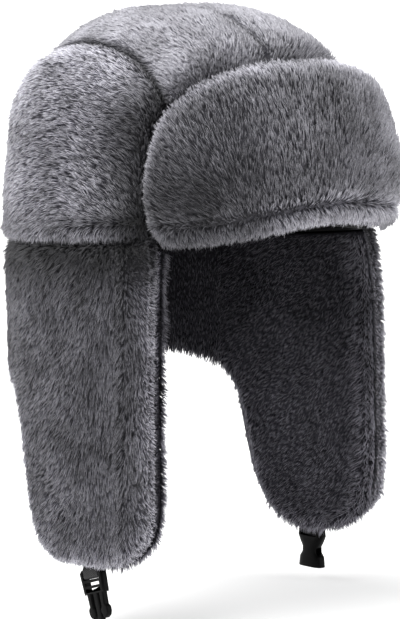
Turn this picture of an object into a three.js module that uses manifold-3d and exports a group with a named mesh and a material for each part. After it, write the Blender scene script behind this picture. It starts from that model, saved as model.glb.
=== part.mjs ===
// An ushanka: a padded cap of grey plush with a turned-up front peak, a band that hangs over the
// ears and the neck, and a side-release buckle whose two halves hang from the ear flaps.
// Millimetres, +Z up. The wearer looks along -Y and has the left hand at +X. The origin is the
// top of the hollow, where the hat sits on a head.

import * as THREE from "three";
import { mergeVertices } from "three/addons/utils/BufferGeometryUtils.js";
import Module from "manifold-3d";

const wasm = await Module();
wasm.setup();

// The hollow for the head: an oval of 587 mm round at the rim, closed by a dome.
const HOLLOW = { halfWidth: 84, halfLength: 98, depth: 118 };
const PLAN_ROUND = 2.3;
const DOME_ROUND = 2.5;
const RIM = -HOLLOW.depth;

// Each layer runs from one distance outside the hollow to another.
const CROWN_LINING = { inner: 0, outer: 4.7, seam: 0.46 };
const CROWN_FUR = { inner: 5.6, outer: 18, pressed: 8.6, crowned: 1.5 };
const PEAK_BACK = { inner: 9.8, outer: 15 };
const PEAK_FACE = { inner: 15.9, outer: 26.5 };
const BAND_LINING = { inner: -1.3, outer: 6.4 };
const BAND_FUR = { inner: 7.4, outer: 17.8 };
const GAP = 0.8;
const RIM_GAP = 1.2;
const LINING_DROP = 6;

// Above the rim every shell leans back, by this much at the height of the hollow's top.
const LEAN = 4.5;

// The rim climbs from the nape to the forehead; the peak hangs a little lower than the rim.
const RIM_SLOPE = { nape: -5, climb: 22.5 };

// Crown seams lie in upright planes: place is X over the ears, slant is how X changes with Y.
const SIDE_SEAM = { place: 69.8, slant: 0.078, shoulder: 50 };
const TOP_SEAM = { place: -7, slant: 0.05 };

// The peak's outline as the wearer's left half: degrees from the forehead, height above the rim.
const PEAK = { halfSpan: 56.7, waist: 40, top: 104, corner: 2.45, foot: 52, hem: 2.2, hemRise: 11.2 };
const PRESS = { start: 0, end: 11, ridge: 1.2 };

// The band's lower outline, from the front edge of an ear flap to the nape: degrees from the
// forehead and height above the rim.
const FLAP_FRONT = [
  { angle: 53, height: -151 },
  { angle: 54.4, height: -164 },
  { angle: 58.5, height: -175 },
];
const FLAP_BOTTOM = [
  { angle: 58.5, height: -175 },
  { angle: 66, height: -183 },
  { angle: 76, height: -186.2 },
  { angle: 87, height: -186.5 },
  { angle: 96, height: -183 },
  { angle: 103.5, height: -174 },
];
const FLAP_BACK = [
  { angle: 126, height: -91 },
  { angle: 119.5, height: -103 },
  { angle: 116, height: -118 },
  { angle: 112.5, height: -142 },
  { angle: 109, height: -159 },
  { angle: 103.5, height: -174 },
];
const NAPE = [
  { angle: 126, height: -91 },
  { angle: 138, height: -84 },
  { angle: 155, height: -79.5 },
  { angle: 180, height: -78.5 },
];

// The front edges of the ear flaps stand out from the round of the band, more so lower down.
const FLARE = { size: 11, from: 73, to: 53, start: 8, reach: 28 };

// Pile: locks stand out of the surface by turns; edges are rolled over to the seams.
const LOCK = { height: 0.9, edge: 8 };
const ROLL = { crown: 7, peak: 15, band: 8 };
const SEAM_LEFT = { crown: 0.4, peak: 0.25, band: 0.25, rim: 0.62 };
const RIM_ZONE = { full: 14, end: 30 };

// Buckle of moulded plastic on 13 mm webbing. Levels are measured down from its top.
const WEBBING = { width: 13, thickness: 1.2 };
const BAR = { height: 3.4, thickness: 2.2, half: 7, clear: 0.3 };
const HANG = { out: 7, angle: 83.4, drop: 0.9, plugDrop: 2.6, stem: 8.5, seat: 0.3, plugTilt: 17 };
const PLUG = { topHalf: 10.3, bodyHalf: 9.4, body: 14.6, thickness: 5, bevel: 1.1, corner: 1.5 };
const SLOT_HALF = 6.5;
const FIRST_SLOT = { top: 3.4, height: 2.6 };
const ADJUSTER_SLOTS = [
  { top: 7.7, height: 1.8 },
  { top: 11.1, height: 2.3 },
];
const ARM = { outer: 7.5, inner: 3.7, thickness: 4, bevel: 0.6, root: 1.5 };
const BULB = { outer: 8.5, inner: 2.6, top: 22.6, end: 29.6, neck: 1, toe: 3.4, corner: 1.4 };
const POST = { half: 1.8, end: 31.6, thickness: 3.4, corner: 0.9, bevel: 0.5 };
const SOCKET_ROWS = [
  { level: 0, half: 8.8, thickness: 5.4 },
  { level: 2.4, half: 10.2, thickness: 7 },
  { level: 6, half: 10.5, thickness: 8 },
  { level: 9.5, half: 8.6, thickness: 8 },
  { level: 13, half: 6.2, thickness: 8 },
  { level: 16.5, half: 6.4, thickness: 8 },
  { level: 19.5, half: 8.9, thickness: 8 },
  { level: 25.5, half: 9.6, thickness: 8 },
];
const SOCKET = { sides: 16, squareness: 0.62 };
const MOUTH = { half: 7.2, thickness: 4.8, depth: 12 };

const radians = THREE.MathUtils.degToRad;
const smooth = THREE.MathUtils.smoothstep;

// The shells round the hollow

// Distance from the middle of the rim, along a unit vector, to the shell that lies `out` outside
// the hollow. Below the rim the shell is an upright wall.
function shellReach(direction, out) {
  const across = Math.abs(direction.x / (HOLLOW.halfWidth + out)) ** PLAN_ROUND;
  const along = Math.abs(direction.y / (HOLLOW.halfLength + out)) ** PLAN_ROUND;
  const rise = Math.max(direction.z, 0) / (HOLLOW.depth + out);
  return ((across + along) ** (DOME_ROUND / PLAN_ROUND) + rise ** DOME_ROUND) ** (-1 / DOME_ROUND);
}

// A spot is a function that gives its point at any distance outside the hollow.
function dirSpot(direction) {
  const unit = direction.clone().normalize();
  return (out) => unit.clone().multiplyScalar(shellReach(unit, out)).add(new THREE.Vector3(0, 0, RIM));
}

// The spot at an angle from the forehead, towards the wearer's left, and a height above the rim.
function wallSpot(angle, height) {
  const way = new THREE.Vector3(Math.sin(radians(angle)), -Math.cos(radians(angle)), 0);
  return (out) => {
    const rise = Math.max(height, 0) / (HOLLOW.depth + out);
    const reach = shellReach(way, out) * (1 - rise ** DOME_ROUND) ** (1 / DOME_ROUND);
    return way.clone().multiplyScalar(reach).setZ(RIM + height);
  };
}

// A spot of the band, whose ear flaps stand out towards their front edges.
function bandSpot(angle, height) {
  const turn = Math.max(0, (FLARE.from - Math.abs(angle)) / (FLARE.from - FLARE.to));
  const flare = FLARE.size * turn ** 2 * (1 - Math.exp(Math.min(0, height - FLARE.start) / FLARE.reach));
  const wall = wallSpot(angle, height);
  return (out) => wall(out + flare);
}

function rimHeight(angle) {
  return RIM_SLOPE.nape + RIM_SLOPE.climb * (1 - Math.abs(angle) / 180) ** 2;
}

// A point set back by the lean of the crown.
function leaned(point) {
  point.y += (LEAN * Math.max(point.z - RIM, 0)) / HOLLOW.depth;
  return point;
}

// Sheets: spots on a grid, with triangles between them

// Lines across a length, as parts of it: close together where an edge is rolled, or in a fine zone
// from one distance to another. Lines between the edges beat 1 and -1 by turns.
function lines(length, count, roll, rolled = { start: true, end: true }, fine) {
  const near = [0, 0.22 * roll, 0.6 * roll];
  const start = rolled.start ? near : [0];
  const end = rolled.end ? near.map((d) => length - d).reverse() : [length];
  const from = start[start.length - 1];
  const to = end[0];
  const stretches = fine ? [[from, fine.from], [fine.from, fine.to], [fine.to, to]] : [[from, to]];
  const extra = fine ? fine.count : 0;
  const open = to - from - (fine ? fine.to - fine.from : 0);
  const places = stretches.flatMap(([a, b], k) => {
    const cells = k === 1 ? extra : Math.max(1, Math.round(((count - extra) * (b - a)) / open));
    return Array.from({ length: cells }, (_, n) => a + ((n + 1) * (b - a)) / cells);
  });
  const middle = places.slice(0, -1);
  const beat = (k) => (k % 2 ? -1 : 1);
  return [
    ...start.map((d) => ({ part: d / length, beat: 1 })),
    ...middle.map((d, k) => ({ part: d / length, beat: beat(k + 1) })),
    ...end.map((d) => ({ part: d / length, beat: beat(middle.length + 1) })),
  ];
}

// A sheet of spots where lines us and vs cross, with faces whose outside is seen when us run
// anticlockwise about +Z and vs run down. Locks stand out (bump 1) and back (bump -1) by turns.
function gridSheet(us, vs, spotAt) {
  const columns = us.length - 1;
  const rows = vs.length - 1;
  const spots = vs.flatMap((v, j) =>
    us.map((u) => ({ at: spotAt(u.part, v.part, j), bump: u.beat * v.beat })),
  );
  const faces = [];
  for (let j = 0; j < rows; j++) {
    for (let i = 0; i < columns; i++) {
      const a = j * (columns + 1) + i;
      const b = a + columns + 1;
      if ((i + j) % 2) faces.push([a, b, a + 1], [a + 1, b, b + 1]);
      else faces.push([a, b, b + 1], [a, b + 1, a + 1]);
    }
  }
  return { spots, faces };
}

// One sheet from several, welded where their spots meet, without the faces that fold to a line.
function weldSheets(sheets) {
  const known = new Map();
  const spots = [];
  const faces = [];
  for (const sheet of sheets) {
    const index = sheet.spots.map((spot) => {
      const key = spot.at(0).toArray().map((v) => Math.round(v * 1000)).join();
      if (!known.has(key)) {
        known.set(key, spots.length);
        spots.push(spot);
      }
      return known.get(key);
    });
    for (const face of sheet.faces) {
      const [a, b, c] = face.map((k) => index[k]);
      if (a !== b && b !== c && c !== a) faces.push([a, b, c]);
    }
  }
  return { spots, faces };
}

// The directed edges of a sheet that belong to one face only.
function borderEdges(faces) {
  const seen = new Set(faces.flatMap(([a, b, c]) => [`${a},${b}`, `${b},${c}`, `${c},${a}`]));
  return [...seen].map((key) => key.split(",").map(Number)).filter(([a, b]) => !seen.has(`${b},${a}`));
}

// Each spot's distance from the border of its sheet, measured on the shell at `out`.
function borderDistances(sheet, out) {
  const points = sheet.spots.map((spot) => spot.at(out));
  const lines = borderEdges(sheet.faces).map(([a, b]) => new THREE.Line3(points[a], points[b]));
  const foot = new THREE.Vector3();
  return points.map((point) =>
    Math.min(...lines.map((line) => line.closestPointToPoint(point, true, foot).distanceTo(point))),
  );
}

// A closed solid between two surfaces of a sheet, with walls along its border.
function closeSheet(sheet, inner, outer) {
  const count = sheet.spots.length;
  const layer = (out) => sheet.spots.map((spot, k) => leaned(spot.at(out(spot, k))));
  const points = [...layer(outer), ...layer(inner)];
  const faces = [...sheet.faces, ...sheet.faces.map(([a, b, c]) => [a + count, c + count, b + count])];
  for (const [a, b] of borderEdges(sheet.faces)) faces.push([b, a, a + count], [b, a + count, b + count]);
  const geometry = new THREE.BufferGeometry();
  geometry.setAttribute("position", new THREE.Float32BufferAttribute(points.flatMap((p) => p.toArray()), 3));
  geometry.setIndex(faces.flat());
  return geometry;
}

// How full a rolled edge is at a distance from its border: a quarter round that ends in a seam.
function fullness(distance, roll, left) {
  const short = Math.max(0, 1 - distance / roll);
  return left + (1 - left) * Math.sqrt(1 - short * short);
}

// The share of its thickness that a piece keeps at its border: more along the rim, where crown and
// band are sewn to each other.
function leftAt(spot, left) {
  const away = Math.abs(spot.at(0).z - RIM);
  return THREE.MathUtils.lerp(SEAM_LEFT.rim, left, smooth(away, RIM_ZONE.full, RIM_ZONE.end));
}

// A piece of pile fabric on a sheet: flat at the back, with rolled edges and locks on the face.
function pilePiece(sheet, layer, roll, left, height = (out) => out) {
  const distances = borderDistances(sheet, layer.outer);
  const face = (spot, k) => {
    const lock = LOCK.height * spot.bump * smooth(distances[k], 0.3 * LOCK.edge, LOCK.edge);
    const tips = height(layer.outer + lock, spot, distances[k]);
    return layer.inner + (tips - layer.inner) * fullness(distances[k], roll, left(spot));
  };
  return closeSheet(sheet, () => layer.inner, face);
}

// Curves and patches

// A smooth curve through the rows of a table of angle and height, from 0 to 1 along its length.
function tableCurve(rows, mirror = 1) {
  const scale = 1.9;
  const curve = new THREE.CatmullRomCurve3(
    rows.map((row) => new THREE.Vector3(mirror * row.angle * scale, row.height, 0)),
    false,
    "centripetal",
  );
  return (t) => {
    const point = curve.getPointAt(THREE.MathUtils.clamp(t, 0, 1));
    return new THREE.Vector3(point.x / scale, point.y, 0);
  };
}

// A patch between four curves: a blend of each pair of opposite sides, less the blend of corners.
function patch({ top, bottom, left, right }) {
  return (u, v) => {
    const across = top(u).lerp(bottom(u), v);
    const down = left(v).lerp(right(v), u);
    const corners = top(0).lerp(top(1), u).lerp(bottom(0).lerp(bottom(1), u), v);
    return across.add(down).sub(corners);
  };
}

// The crown

// The direction of a seam at a turn from the front rim, over the top, to the back rim.
function seamDirection(seam, turn, shift) {
  let near = 0;
  let far = 200;
  const point = new THREE.Vector3();
  while (far - near > 1e-5) {
    const reach = (near + far) / 2;
    const y = -reach * Math.cos(radians(turn));
    point.set(seam.place + seam.slant * y + shift, y, reach * Math.sin(radians(turn)));
    const length = point.length();
    if (length < shellReach(point.clone().normalize(), CROWN_FUR.outer)) near = reach;
    else far = reach;
  }
  return point;
}

// A seam's direction by its part of the way from the front rim to the back rim.
function seamPoint(seam, part, shift) {
  const lift = (point) => THREE.MathUtils.radToDeg(Math.asin(rimHeight(angleOf(point)) / Math.abs(point.y)));
  const start = lift(seamDirection(seam, 0, shift));
  const end = 180 - lift(seamDirection(seam, 180, shift));
  return seamDirection(seam, THREE.MathUtils.lerp(start, end, part), shift);
}

function angleOf(point) {
  return THREE.MathUtils.radToDeg(Math.atan2(point.x, -point.y));
}

// Distance outside the peak's outline, or less than 0 inside it, for a point of the crown.
function outsidePeak(point) {
  const angle = Math.abs(angleOf(point));
  const height = point.z - RIM;
  const rise = Math.max(height - PEAK.waist, 0) / (PEAK.top - PEAK.waist);
  const share = ((angle / PEAK.halfSpan) ** PEAK.corner + rise ** PEAK.corner) ** (1 / PEAK.corner);
  const wide = Math.hypot(point.x, point.y) * radians(angle);
  const reach = Math.hypot(wide, Math.max(height - PEAK.waist, 0));
  return reach * (1 - 1 / Math.max(share, 1e-3));
}

// The tips of the crown's pile: pressed flat under the peak, with a ridge round it.
function crownTips(tips, spot, distance) {
  const outside = outsidePeak(spot.at(PEAK_BACK.inner));
  const free = smooth(outside, PRESS.start, PRESS.end);
  const ridge = PRESS.ridge * (1 - smooth(outside, PRESS.end, 2 * PRESS.end));
  const crowned = CROWN_FUR.crowned * smooth(distance, ROLL.crown, 4 * ROLL.crown);
  return THREE.MathUtils.lerp(CROWN_FUR.pressed, tips + ridge + crowned, free);
}

// Lines that start at the forehead, in the order in which a sheet's columns run on a side.
function towards(side, us) {
  return side > 0 ? us : us.map(({ part, beat }) => ({ part: 1 - part, beat })).reverse();
}

function crownPanel(sheet) {
  return pilePiece(sheet, CROWN_FUR, ROLL.crown, (spot) => leftAt(spot, SEAM_LEFT.crown), crownTips);
}

// A panel over an ear: a patch whose top and two sides are one seam, and whose foot is the rim.
function sidePanel(side) {
  const seam = { place: side * SIDE_SEAM.place, slant: -side * SIDE_SEAM.slant };
  const shift = (side * GAP) / 2;
  const shoulder = SIDE_SEAM.shoulder / 180;
  const onSeam = (part) => seamPoint(seam, part, shift).normalize();
  const feet = [angleOf(onSeam(0)), angleOf(onSeam(1))];
  const onRim = (u) => {
    const angle = THREE.MathUtils.lerp(feet[0], feet[1], u);
    return wallSpot(angle, rimHeight(angle))(CROWN_FUR.outer).sub(new THREE.Vector3(0, 0, RIM)).normalize();
  };
  const surface = patch({
    top: (u) => onSeam(THREE.MathUtils.lerp(shoulder, 1 - shoulder, u)),
    bottom: onRim,
    left: (v) => onSeam(shoulder * (1 - v)),
    right: (v) => onSeam(1 - shoulder * (1 - v)),
  });
  const us = lines(215, 16, ROLL.crown, undefined, { from: 14, to: 38, count: 4 });
  const vs = lines(112, 7, ROLL.crown);
  return crownPanel(gridSheet(towards(side, us), vs, (u, v) => dirSpot(surface(side > 0 ? u : 1 - u, v))));
}

// A panel beside the top seam: strips from the front rim over the top to the back rim.
function topPanel(side) {
  const outer = { place: side * SIDE_SEAM.place, slant: -side * SIDE_SEAM.slant };
  const shift = (side * GAP) / 2;
  const us = lines(335, 20, ROLL.crown, undefined, { from: 92, to: 122, count: 4 });
  const vs = lines(70, 5, ROLL.crown);
  const spotAt = (u, v) => {
    const part = side > 0 ? u : 1 - u;
    const middle = seamPoint(TOP_SEAM, part, shift);
    return dirSpot(middle.lerp(seamPoint(outer, part, -shift), v));
  };
  return crownPanel(gridSheet(towards(side, us), vs, spotAt));
}

// A part of the padded lining inside the crown: rings of spots from one share of the way between the
// top and the rim to another.
function crownLining(from, to) {
  const length = 160;
  const margin = GAP / 2 / length;
  const plain = { start: false, end: false };
  const us = lines(580, 30, 0, plain);
  const vs = lines(length * (to - from), Math.round(9 * (to - from)), 0, plain);
  const spotAt = (u, v) => {
    const angle = 360 * u - 180;
    const foot = wallSpot(angle, rimHeight(angle) - LINING_DROP)(0).sub(new THREE.Vector3(0, 0, RIM));
    const start = Math.asin(foot.normalize().z);
    const share = THREE.MathUtils.lerp(from > 0 ? from + margin : from, to < 1 ? to - margin : to, v);
    const climb = THREE.MathUtils.lerp(Math.PI / 2, start, share ** 0.85);
    const flat = Math.cos(climb);
    return dirSpot(
      new THREE.Vector3(flat * Math.sin(radians(angle)), -flat * Math.cos(radians(angle)), Math.sin(climb)),
    );
  };
  const sheet = weldSheets([gridSheet(us, vs, spotAt)]);
  return closeSheet(sheet, () => CROWN_LINING.inner, () => CROWN_LINING.outer);
}

// The turned-up peak

// The patch of the peak in angle and height: hem, two sides and a top that is one arch.
function peakSheet(columns, rows) {
  const corner = 0.5 ** (1 / PEAK.corner);
  const arch = (along) => {
    const angle = PEAK.halfSpan * Math.sign(along) * Math.abs(along) * corner;
    const rise = (1 - Math.abs(along * corner) ** PEAK.corner) ** (1 / PEAK.corner);
    return new THREE.Vector3(angle, THREE.MathUtils.lerp(PEAK.waist, PEAK.top, rise), 0);
  };
  const hem = (along) => {
    const dip = Math.cos((Math.PI / 2) * along) ** 2;
    return new THREE.Vector3(PEAK.foot * along, PEAK.hem + PEAK.hemRise * dip, 0);
  };
  const flank = (side) => {
    const rise = (part) => (1 - (corner * part) ** PEAK.corner) ** (1 / PEAK.corner);
    return tableCurve(
      [
        { angle: arch(1).x, height: arch(1).y },
        { angle: PEAK.halfSpan * rise(0.7), height: PEAK.waist + 0.7 * corner * (PEAK.top - PEAK.waist) },
        { angle: PEAK.halfSpan, height: PEAK.waist },
        { angle: PEAK.halfSpan - 0.4, height: PEAK.waist / 2 },
        { angle: PEAK.foot, height: PEAK.hem },
      ],
      side,
    );
  };
  const surface = patch({
    top: (u) => arch(2 * u - 1),
    bottom: (u) => hem(2 * u - 1),
    left: flank(-1),
    right: flank(1),
  });
  return gridSheet(lines(225, columns, ROLL.peak), lines(105, rows, ROLL.peak), (u, v) => {
    const place = surface(u, v);
    return wallSpot(place.x, place.y);
  });
}

function peakFace() {
  return pilePiece(peakSheet(14, 6), PEAK_FACE, ROLL.peak, () => SEAM_LEFT.peak);
}

// The back of the peak lies on the crown: its edges roll the other way, towards the face.
function peakBack() {
  const sheet = peakSheet(10, 4);
  const distances = borderDistances(sheet, PEAK_BACK.outer);
  const thickness = PEAK_BACK.outer - PEAK_BACK.inner;
  const inner = (_, k) => PEAK_BACK.outer - thickness * fullness(distances[k], ROLL.peak, SEAM_LEFT.peak);
  return closeSheet(sheet, inner, () => PEAK_BACK.outer);
}

// The band over the ears and the neck

// Three patches side by side: an ear flap, the nape and the other ear flap. Rows above the nape's
// hem run through all three.
function bandSheet(cells, drop) {
  const meet = NAPE[0];
  const from = FLAP_FRONT[0].angle;
  const upper = lines(-meet.height, cells.upper, ROLL.band);
  const lower = lines(110, cells.lower, ROLL.band, { start: false, end: true }).slice(1);
  const share = upper.length / (upper.length + lower.length);
  const turn = upper[upper.length - 1].beat;
  const rows = [
    ...upper.map(({ part, beat }) => ({ part: part * share, beat })),
    ...lower.map(({ part, beat }) => ({ part: share + part * (1 - share), beat: beat * turn })),
  ];
  const even = lines(200, rows.length - 5, ROLL.band);
  const top = (angle) => new THREE.Vector3(angle, rimHeight(angle) - drop, 0);
  const flap = (side) => {
    const corner = new THREE.Vector3(side * meet.angle, meet.height, 0);
    const straight = (v) => top(side * meet.angle).lerp(corner, v);
    const back = tableCurve(FLAP_BACK, side);
    const rim = { angle: from, height: rimHeight(from) - drop };
    const front = [rim, { angle: from, height: meet.height }, ...FLAP_FRONT];
    const surface = patch({
      top: (u) => top(side * THREE.MathUtils.lerp(from, meet.angle, u)),
      bottom: tableCurve(FLAP_BOTTOM, side),
      left: tableCurve(front, side),
      right: (v) => (v <= share ? straight(v / share) : back((v - share) / (1 - share))),
    });
    return gridSheet(towards(side, lines(112, cells.flap, ROLL.band)), rows, (u, v, j) => {
      const inward = side > 0 ? u : 1 - u;
      const place = surface(inward, THREE.MathUtils.lerp(even[j].part, v, inward));
      return bandSpot(place.x, place.y);
    });
  };
  const nape = () => {
    const mirrored = NAPE.slice(0, -1).reverse();
    const hem = tableCurve([...NAPE, ...mirrored.map((row) => ({ ...row, angle: 360 - row.angle }))]);
    return gridSheet(lines(212, cells.nape, ROLL.band, { start: false, end: false }), upper, (u, v) => {
      const low = hem(u);
      return bandSpot(low.x, THREE.MathUtils.lerp(rimHeight(low.x) - drop, low.y, v));
    });
  };
  return weldSheets([flap(-1), flap(1), nape()]);
}

function bandFur() {
  const sheet = bandSheet({ upper: 5, lower: 6, flap: 7, nape: 14 }, RIM_GAP);
  return pilePiece(sheet, BAND_FUR, ROLL.band, (spot) => leftAt(spot, SEAM_LEFT.band));
}

function bandLining() {
  const sheet = bandSheet({ upper: 4, lower: 5, flap: 6, nape: 12 }, RIM_GAP + LINING_DROP);
  const distances = borderDistances(sheet, BAND_LINING.outer);
  const thickness = BAND_LINING.outer - BAND_LINING.inner;
  const inner = (_, k) => BAND_LINING.outer - thickness * fullness(distances[k], ROLL.band, SEAM_LEFT.band);
  return closeSheet(sheet, inner, () => BAND_LINING.outer);
}

// The buckle, drawn flat: x across, y up from its top, z through its thickness

// A closed geometry as a solid for cutting and joining, and back.
function toSolid(geometry) {
  const bare = geometry.clone();
  for (const name of Object.keys(bare.attributes)) if (name !== "position") bare.deleteAttribute(name);
  const merged = mergeVertices(bare, 1e-4);
  return new wasm.Manifold(
    new wasm.Mesh({
      numProp: 3,
      vertProperties: new Float32Array(merged.attributes.position.array),
      triVerts: new Uint32Array(merged.index.array),
    }),
  );
}

function toGeometry(solid) {
  const mesh = solid.getMesh();
  const geometry = new THREE.BufferGeometry();
  geometry.setAttribute("position", new THREE.BufferAttribute(new Float32Array(mesh.vertProperties), 3));
  geometry.setIndex(new THREE.BufferAttribute(new Uint32Array(mesh.triVerts), 1));
  return geometry;
}

function block(halfWidth, top, height, thickness, z = 0) {
  const box = new THREE.BoxGeometry(2 * halfWidth, height, thickness);
  return toSolid(box.translate(0, -top - height / 2, z));
}

// A plate with chamfered edges, from an outline whose points are x and the level below the top.
function plate(points, thickness, bevel) {
  const shape = new THREE.Shape(points.map(([x, level]) => new THREE.Vector2(x, -level)));
  const depth = thickness - 2 * bevel;
  const options = { depth, bevelSize: bevel, bevelThickness: bevel, bevelOffset: -bevel, bevelSegments: 1 };
  return toSolid(new THREE.ExtrudeGeometry(shape, options).translate(0, 0, -depth / 2));
}

// The first slot, and cuts on both faces that leave the thin bar over it, round which the webbing
// is sewn.
function cutBar(body) {
  const deep = 2 * BAR.half;
  const face = (BAR.thickness + deep) / 2;
  return [1, -1].reduce(
    (solid, side) => solid.subtract(block(BAR.half, -1, FIRST_SLOT.top + 1.1, deep, side * face)),
    body.subtract(block(BAR.half, FIRST_SLOT.top, FIRST_SLOT.height, deep)),
  );
}

function plug() {
  const root = PLUG.body - ARM.root;
  const body = plate(
    [
      [-PLUG.topHalf + PLUG.corner, 0],
      [-PLUG.topHalf, PLUG.corner],
      [-PLUG.bodyHalf, PLUG.body],
      [PLUG.bodyHalf, PLUG.body],
      [PLUG.topHalf, PLUG.corner],
      [PLUG.topHalf - PLUG.corner, 0],
    ],
    PLUG.thickness,
    PLUG.bevel,
  );
  const arm = (side) => {
    const middle = (BULB.top + BULB.end) / 2;
    const rows = [
      [ARM.inner, root],
      [ARM.inner, BULB.top],
      [BULB.inner, BULB.top + BULB.corner],
      [BULB.inner, middle],
      [BULB.inner + BULB.neck, BULB.end - BULB.corner],
      [BULB.outer - BULB.toe, BULB.end],
      [BULB.outer - BULB.neck, BULB.end - BULB.corner],
      [BULB.outer, middle],
      [BULB.outer, BULB.top + BULB.corner / 2],
      [ARM.outer - BULB.neck / 2, BULB.top - BULB.neck],
      [ARM.outer, root],
    ];
    const mirrored = rows.map(([x, level]) => [side * x, level]);
    return plate(side > 0 ? mirrored : mirrored.reverse(), ARM.thickness, ARM.bevel);
  };
  const post = plate(
    [
      [-POST.half, root],
      [-POST.half, POST.end - POST.corner],
      [-POST.half + POST.corner, POST.end],
      [POST.half - POST.corner, POST.end],
      [POST.half, POST.end - POST.corner],
      [POST.half, root],
    ],
    POST.thickness,
    POST.bevel,
  );
  const whole = [arm(1), arm(-1), post].reduce((solid, piece) => solid.add(piece), body);
  const slot = ({ top, height }) => block(SLOT_HALF, top, height, 2 * PLUG.thickness);
  return cutBar(ADJUSTER_SLOTS.reduce((solid, row) => solid.subtract(slot(row)), whole));
}

// Rings of rounded sections down the socket, closed at both ends.
function socket() {
  const points = SOCKET_ROWS.flatMap((row) =>
    Array.from({ length: SOCKET.sides }, (_, k) => {
      const turn = (2 * Math.PI * (k + 0.5)) / SOCKET.sides;
      const round = (value) => Math.sign(value) * Math.abs(value) ** SOCKET.squareness;
      return [row.half * round(Math.cos(turn)), -row.level, (row.thickness / 2) * round(Math.sin(turn))];
    }),
  );
  const n = SOCKET.sides;
  const last = (SOCKET_ROWS.length - 1) * n;
  const faces = [];
  for (let k = 0; k < last; k++) {
    const next = k % n === n - 1 ? k - n + 1 : k + 1;
    faces.push([k, next, next + n], [k, next + n, k + n]);
  }
  for (let k = 1; k < n - 1; k++) faces.push([0, k + 1, k], [last, last + k, last + k + 1]);
  const geometry = new THREE.BufferGeometry();
  geometry.setAttribute("position", new THREE.Float32BufferAttribute(points.flat(), 3));
  geometry.setIndex(faces.flat());
  const end = SOCKET_ROWS[SOCKET_ROWS.length - 1].level;
  const mouth = block(MOUTH.half, end - MOUTH.depth, MOUTH.depth + 1, MOUTH.thickness);
  return cutBar(toSolid(geometry).subtract(mouth));
}

// A short tab of webbing: a loop sewn round the bar and a stem of two plies up into the flap.
function strap() {
  const inner = BAR.thickness / 2 + BAR.clear;
  const outer = inner + WEBBING.thickness;
  const top = BAR.clear + WEBBING.thickness;
  const low = -BAR.height - BAR.clear - WEBBING.thickness;
  const corner = WEBBING.thickness / 2;
  const half = [
    [WEBBING.thickness, top + HANG.stem],
    [WEBBING.thickness, top + corner],
    [outer, top - corner],
    [outer, low + corner],
    [outer - corner, low],
  ];
  const mirrored = half.map(([x, y]) => [-x, y]).reverse();
  const shape = new THREE.Shape([...half, ...mirrored].map(([x, y]) => new THREE.Vector2(x, y)));
  const eye = [
    [-inner, BAR.clear],
    [-inner, -BAR.height - BAR.clear],
    [inner, -BAR.height - BAR.clear],
    [inner, BAR.clear],
  ];
  shape.holes.push(new THREE.Path(eye.map(([x, y]) => new THREE.Vector2(x, y))));
  const geometry = new THREE.ExtrudeGeometry(shape, { depth: WEBBING.width, bevelEnabled: false });
  return geometry.translate(0, 0, -WEBBING.width / 2).rotateY(Math.PI / 2);
}

// The object

const group = new THREE.Group();

function addPiece(parent, name, geometry, color, roughness) {
  const mesh = new THREE.Mesh(geometry, new THREE.MeshStandardMaterial({ color, roughness, metalness: 0 }));
  mesh.name = name;
  parent.add(mesh);
}

// The place of a buckle half: its bar just below an ear flap, its face towards the side.
function hangingPlace(side, drop, tilt) {
  const level = FLAP_BOTTOM[3].height - drop - BAR.clear - WEBBING.thickness;
  const place = new THREE.Group();
  place.position.copy(wallSpot(side * HANG.angle, level)(HANG.out));
  const turned = new THREE.Group();
  turned.rotation.y = radians(90);
  place.rotation.x = radians(90 - tilt);
  place.add(turned);
  group.add(place);
  place.updateMatrixWorld(true);
  return turned;
}

// The room for a tab's stem between the two layers of the band.
function stemRoom(place) {
  const top = BAR.clear + WEBBING.thickness;
  const height = HANG.stem + HANG.seat;
  const depth = 2 * (WEBBING.thickness + HANG.seat);
  const room = new THREE.BoxGeometry(WEBBING.width + 2 * HANG.seat, height, depth);
  return toSolid(room.translate(0, top + height / 2, 0).applyMatrix4(place.matrixWorld));
}

const right = hangingPlace(-1, HANG.plugDrop, HANG.plugTilt);
const left = hangingPlace(1, HANG.drop, 0);
const withRooms = (geometry) => {
  const cut = [right, left].reduce((solid, place) => solid.subtract(stemRoom(place)), toSolid(geometry));
  return toGeometry(cut);
};

const FUR = { color: 0x6c6b72, roughness: 1 };
const PLUSH = { color: 0x47474b, roughness: 1 };
const PLASTIC = { color: 0x1b1c1b, roughness: 0.35 };
const TAPE = { color: 0x161617, roughness: 0.9 };
const pieces = [
  { parent: group, name: "crown_side_panel_right", geometry: sidePanel(-1), finish: FUR },
  { parent: group, name: "crown_side_panel_left", geometry: sidePanel(1), finish: FUR },
  { parent: group, name: "crown_top_panel_right", geometry: topPanel(-1), finish: FUR },
  { parent: group, name: "crown_top_panel_left", geometry: topPanel(1), finish: FUR },
  { parent: group, name: "crown_lining_top", geometry: crownLining(0, CROWN_LINING.seam), finish: PLUSH },
  { parent: group, name: "crown_lining_side", geometry: crownLining(CROWN_LINING.seam, 1), finish: PLUSH },
  { parent: group, name: "peak_face", geometry: peakFace(), finish: FUR },
  { parent: group, name: "peak_back", geometry: peakBack(), finish: PLUSH },
  { parent: group, name: "ear_band_fur", geometry: withRooms(bandFur()), finish: FUR },
  { parent: group, name: "ear_band_lining", geometry: withRooms(bandLining()), finish: PLUSH },
  { parent: right, name: "strap_right", geometry: strap(), finish: TAPE },
  { parent: left, name: "strap_left", geometry: strap(), finish: TAPE },
  { parent: right, name: "buckle_plug", geometry: toGeometry(plug()), finish: PLASTIC },
  { parent: left, name: "buckle_socket", geometry: toGeometry(socket()), finish: PLASTIC },
];
for (const { parent, name, geometry, finish } of pieces) {
  addPiece(parent, name, geometry, finish.color, finish.roughness);
}

export default group;
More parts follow.
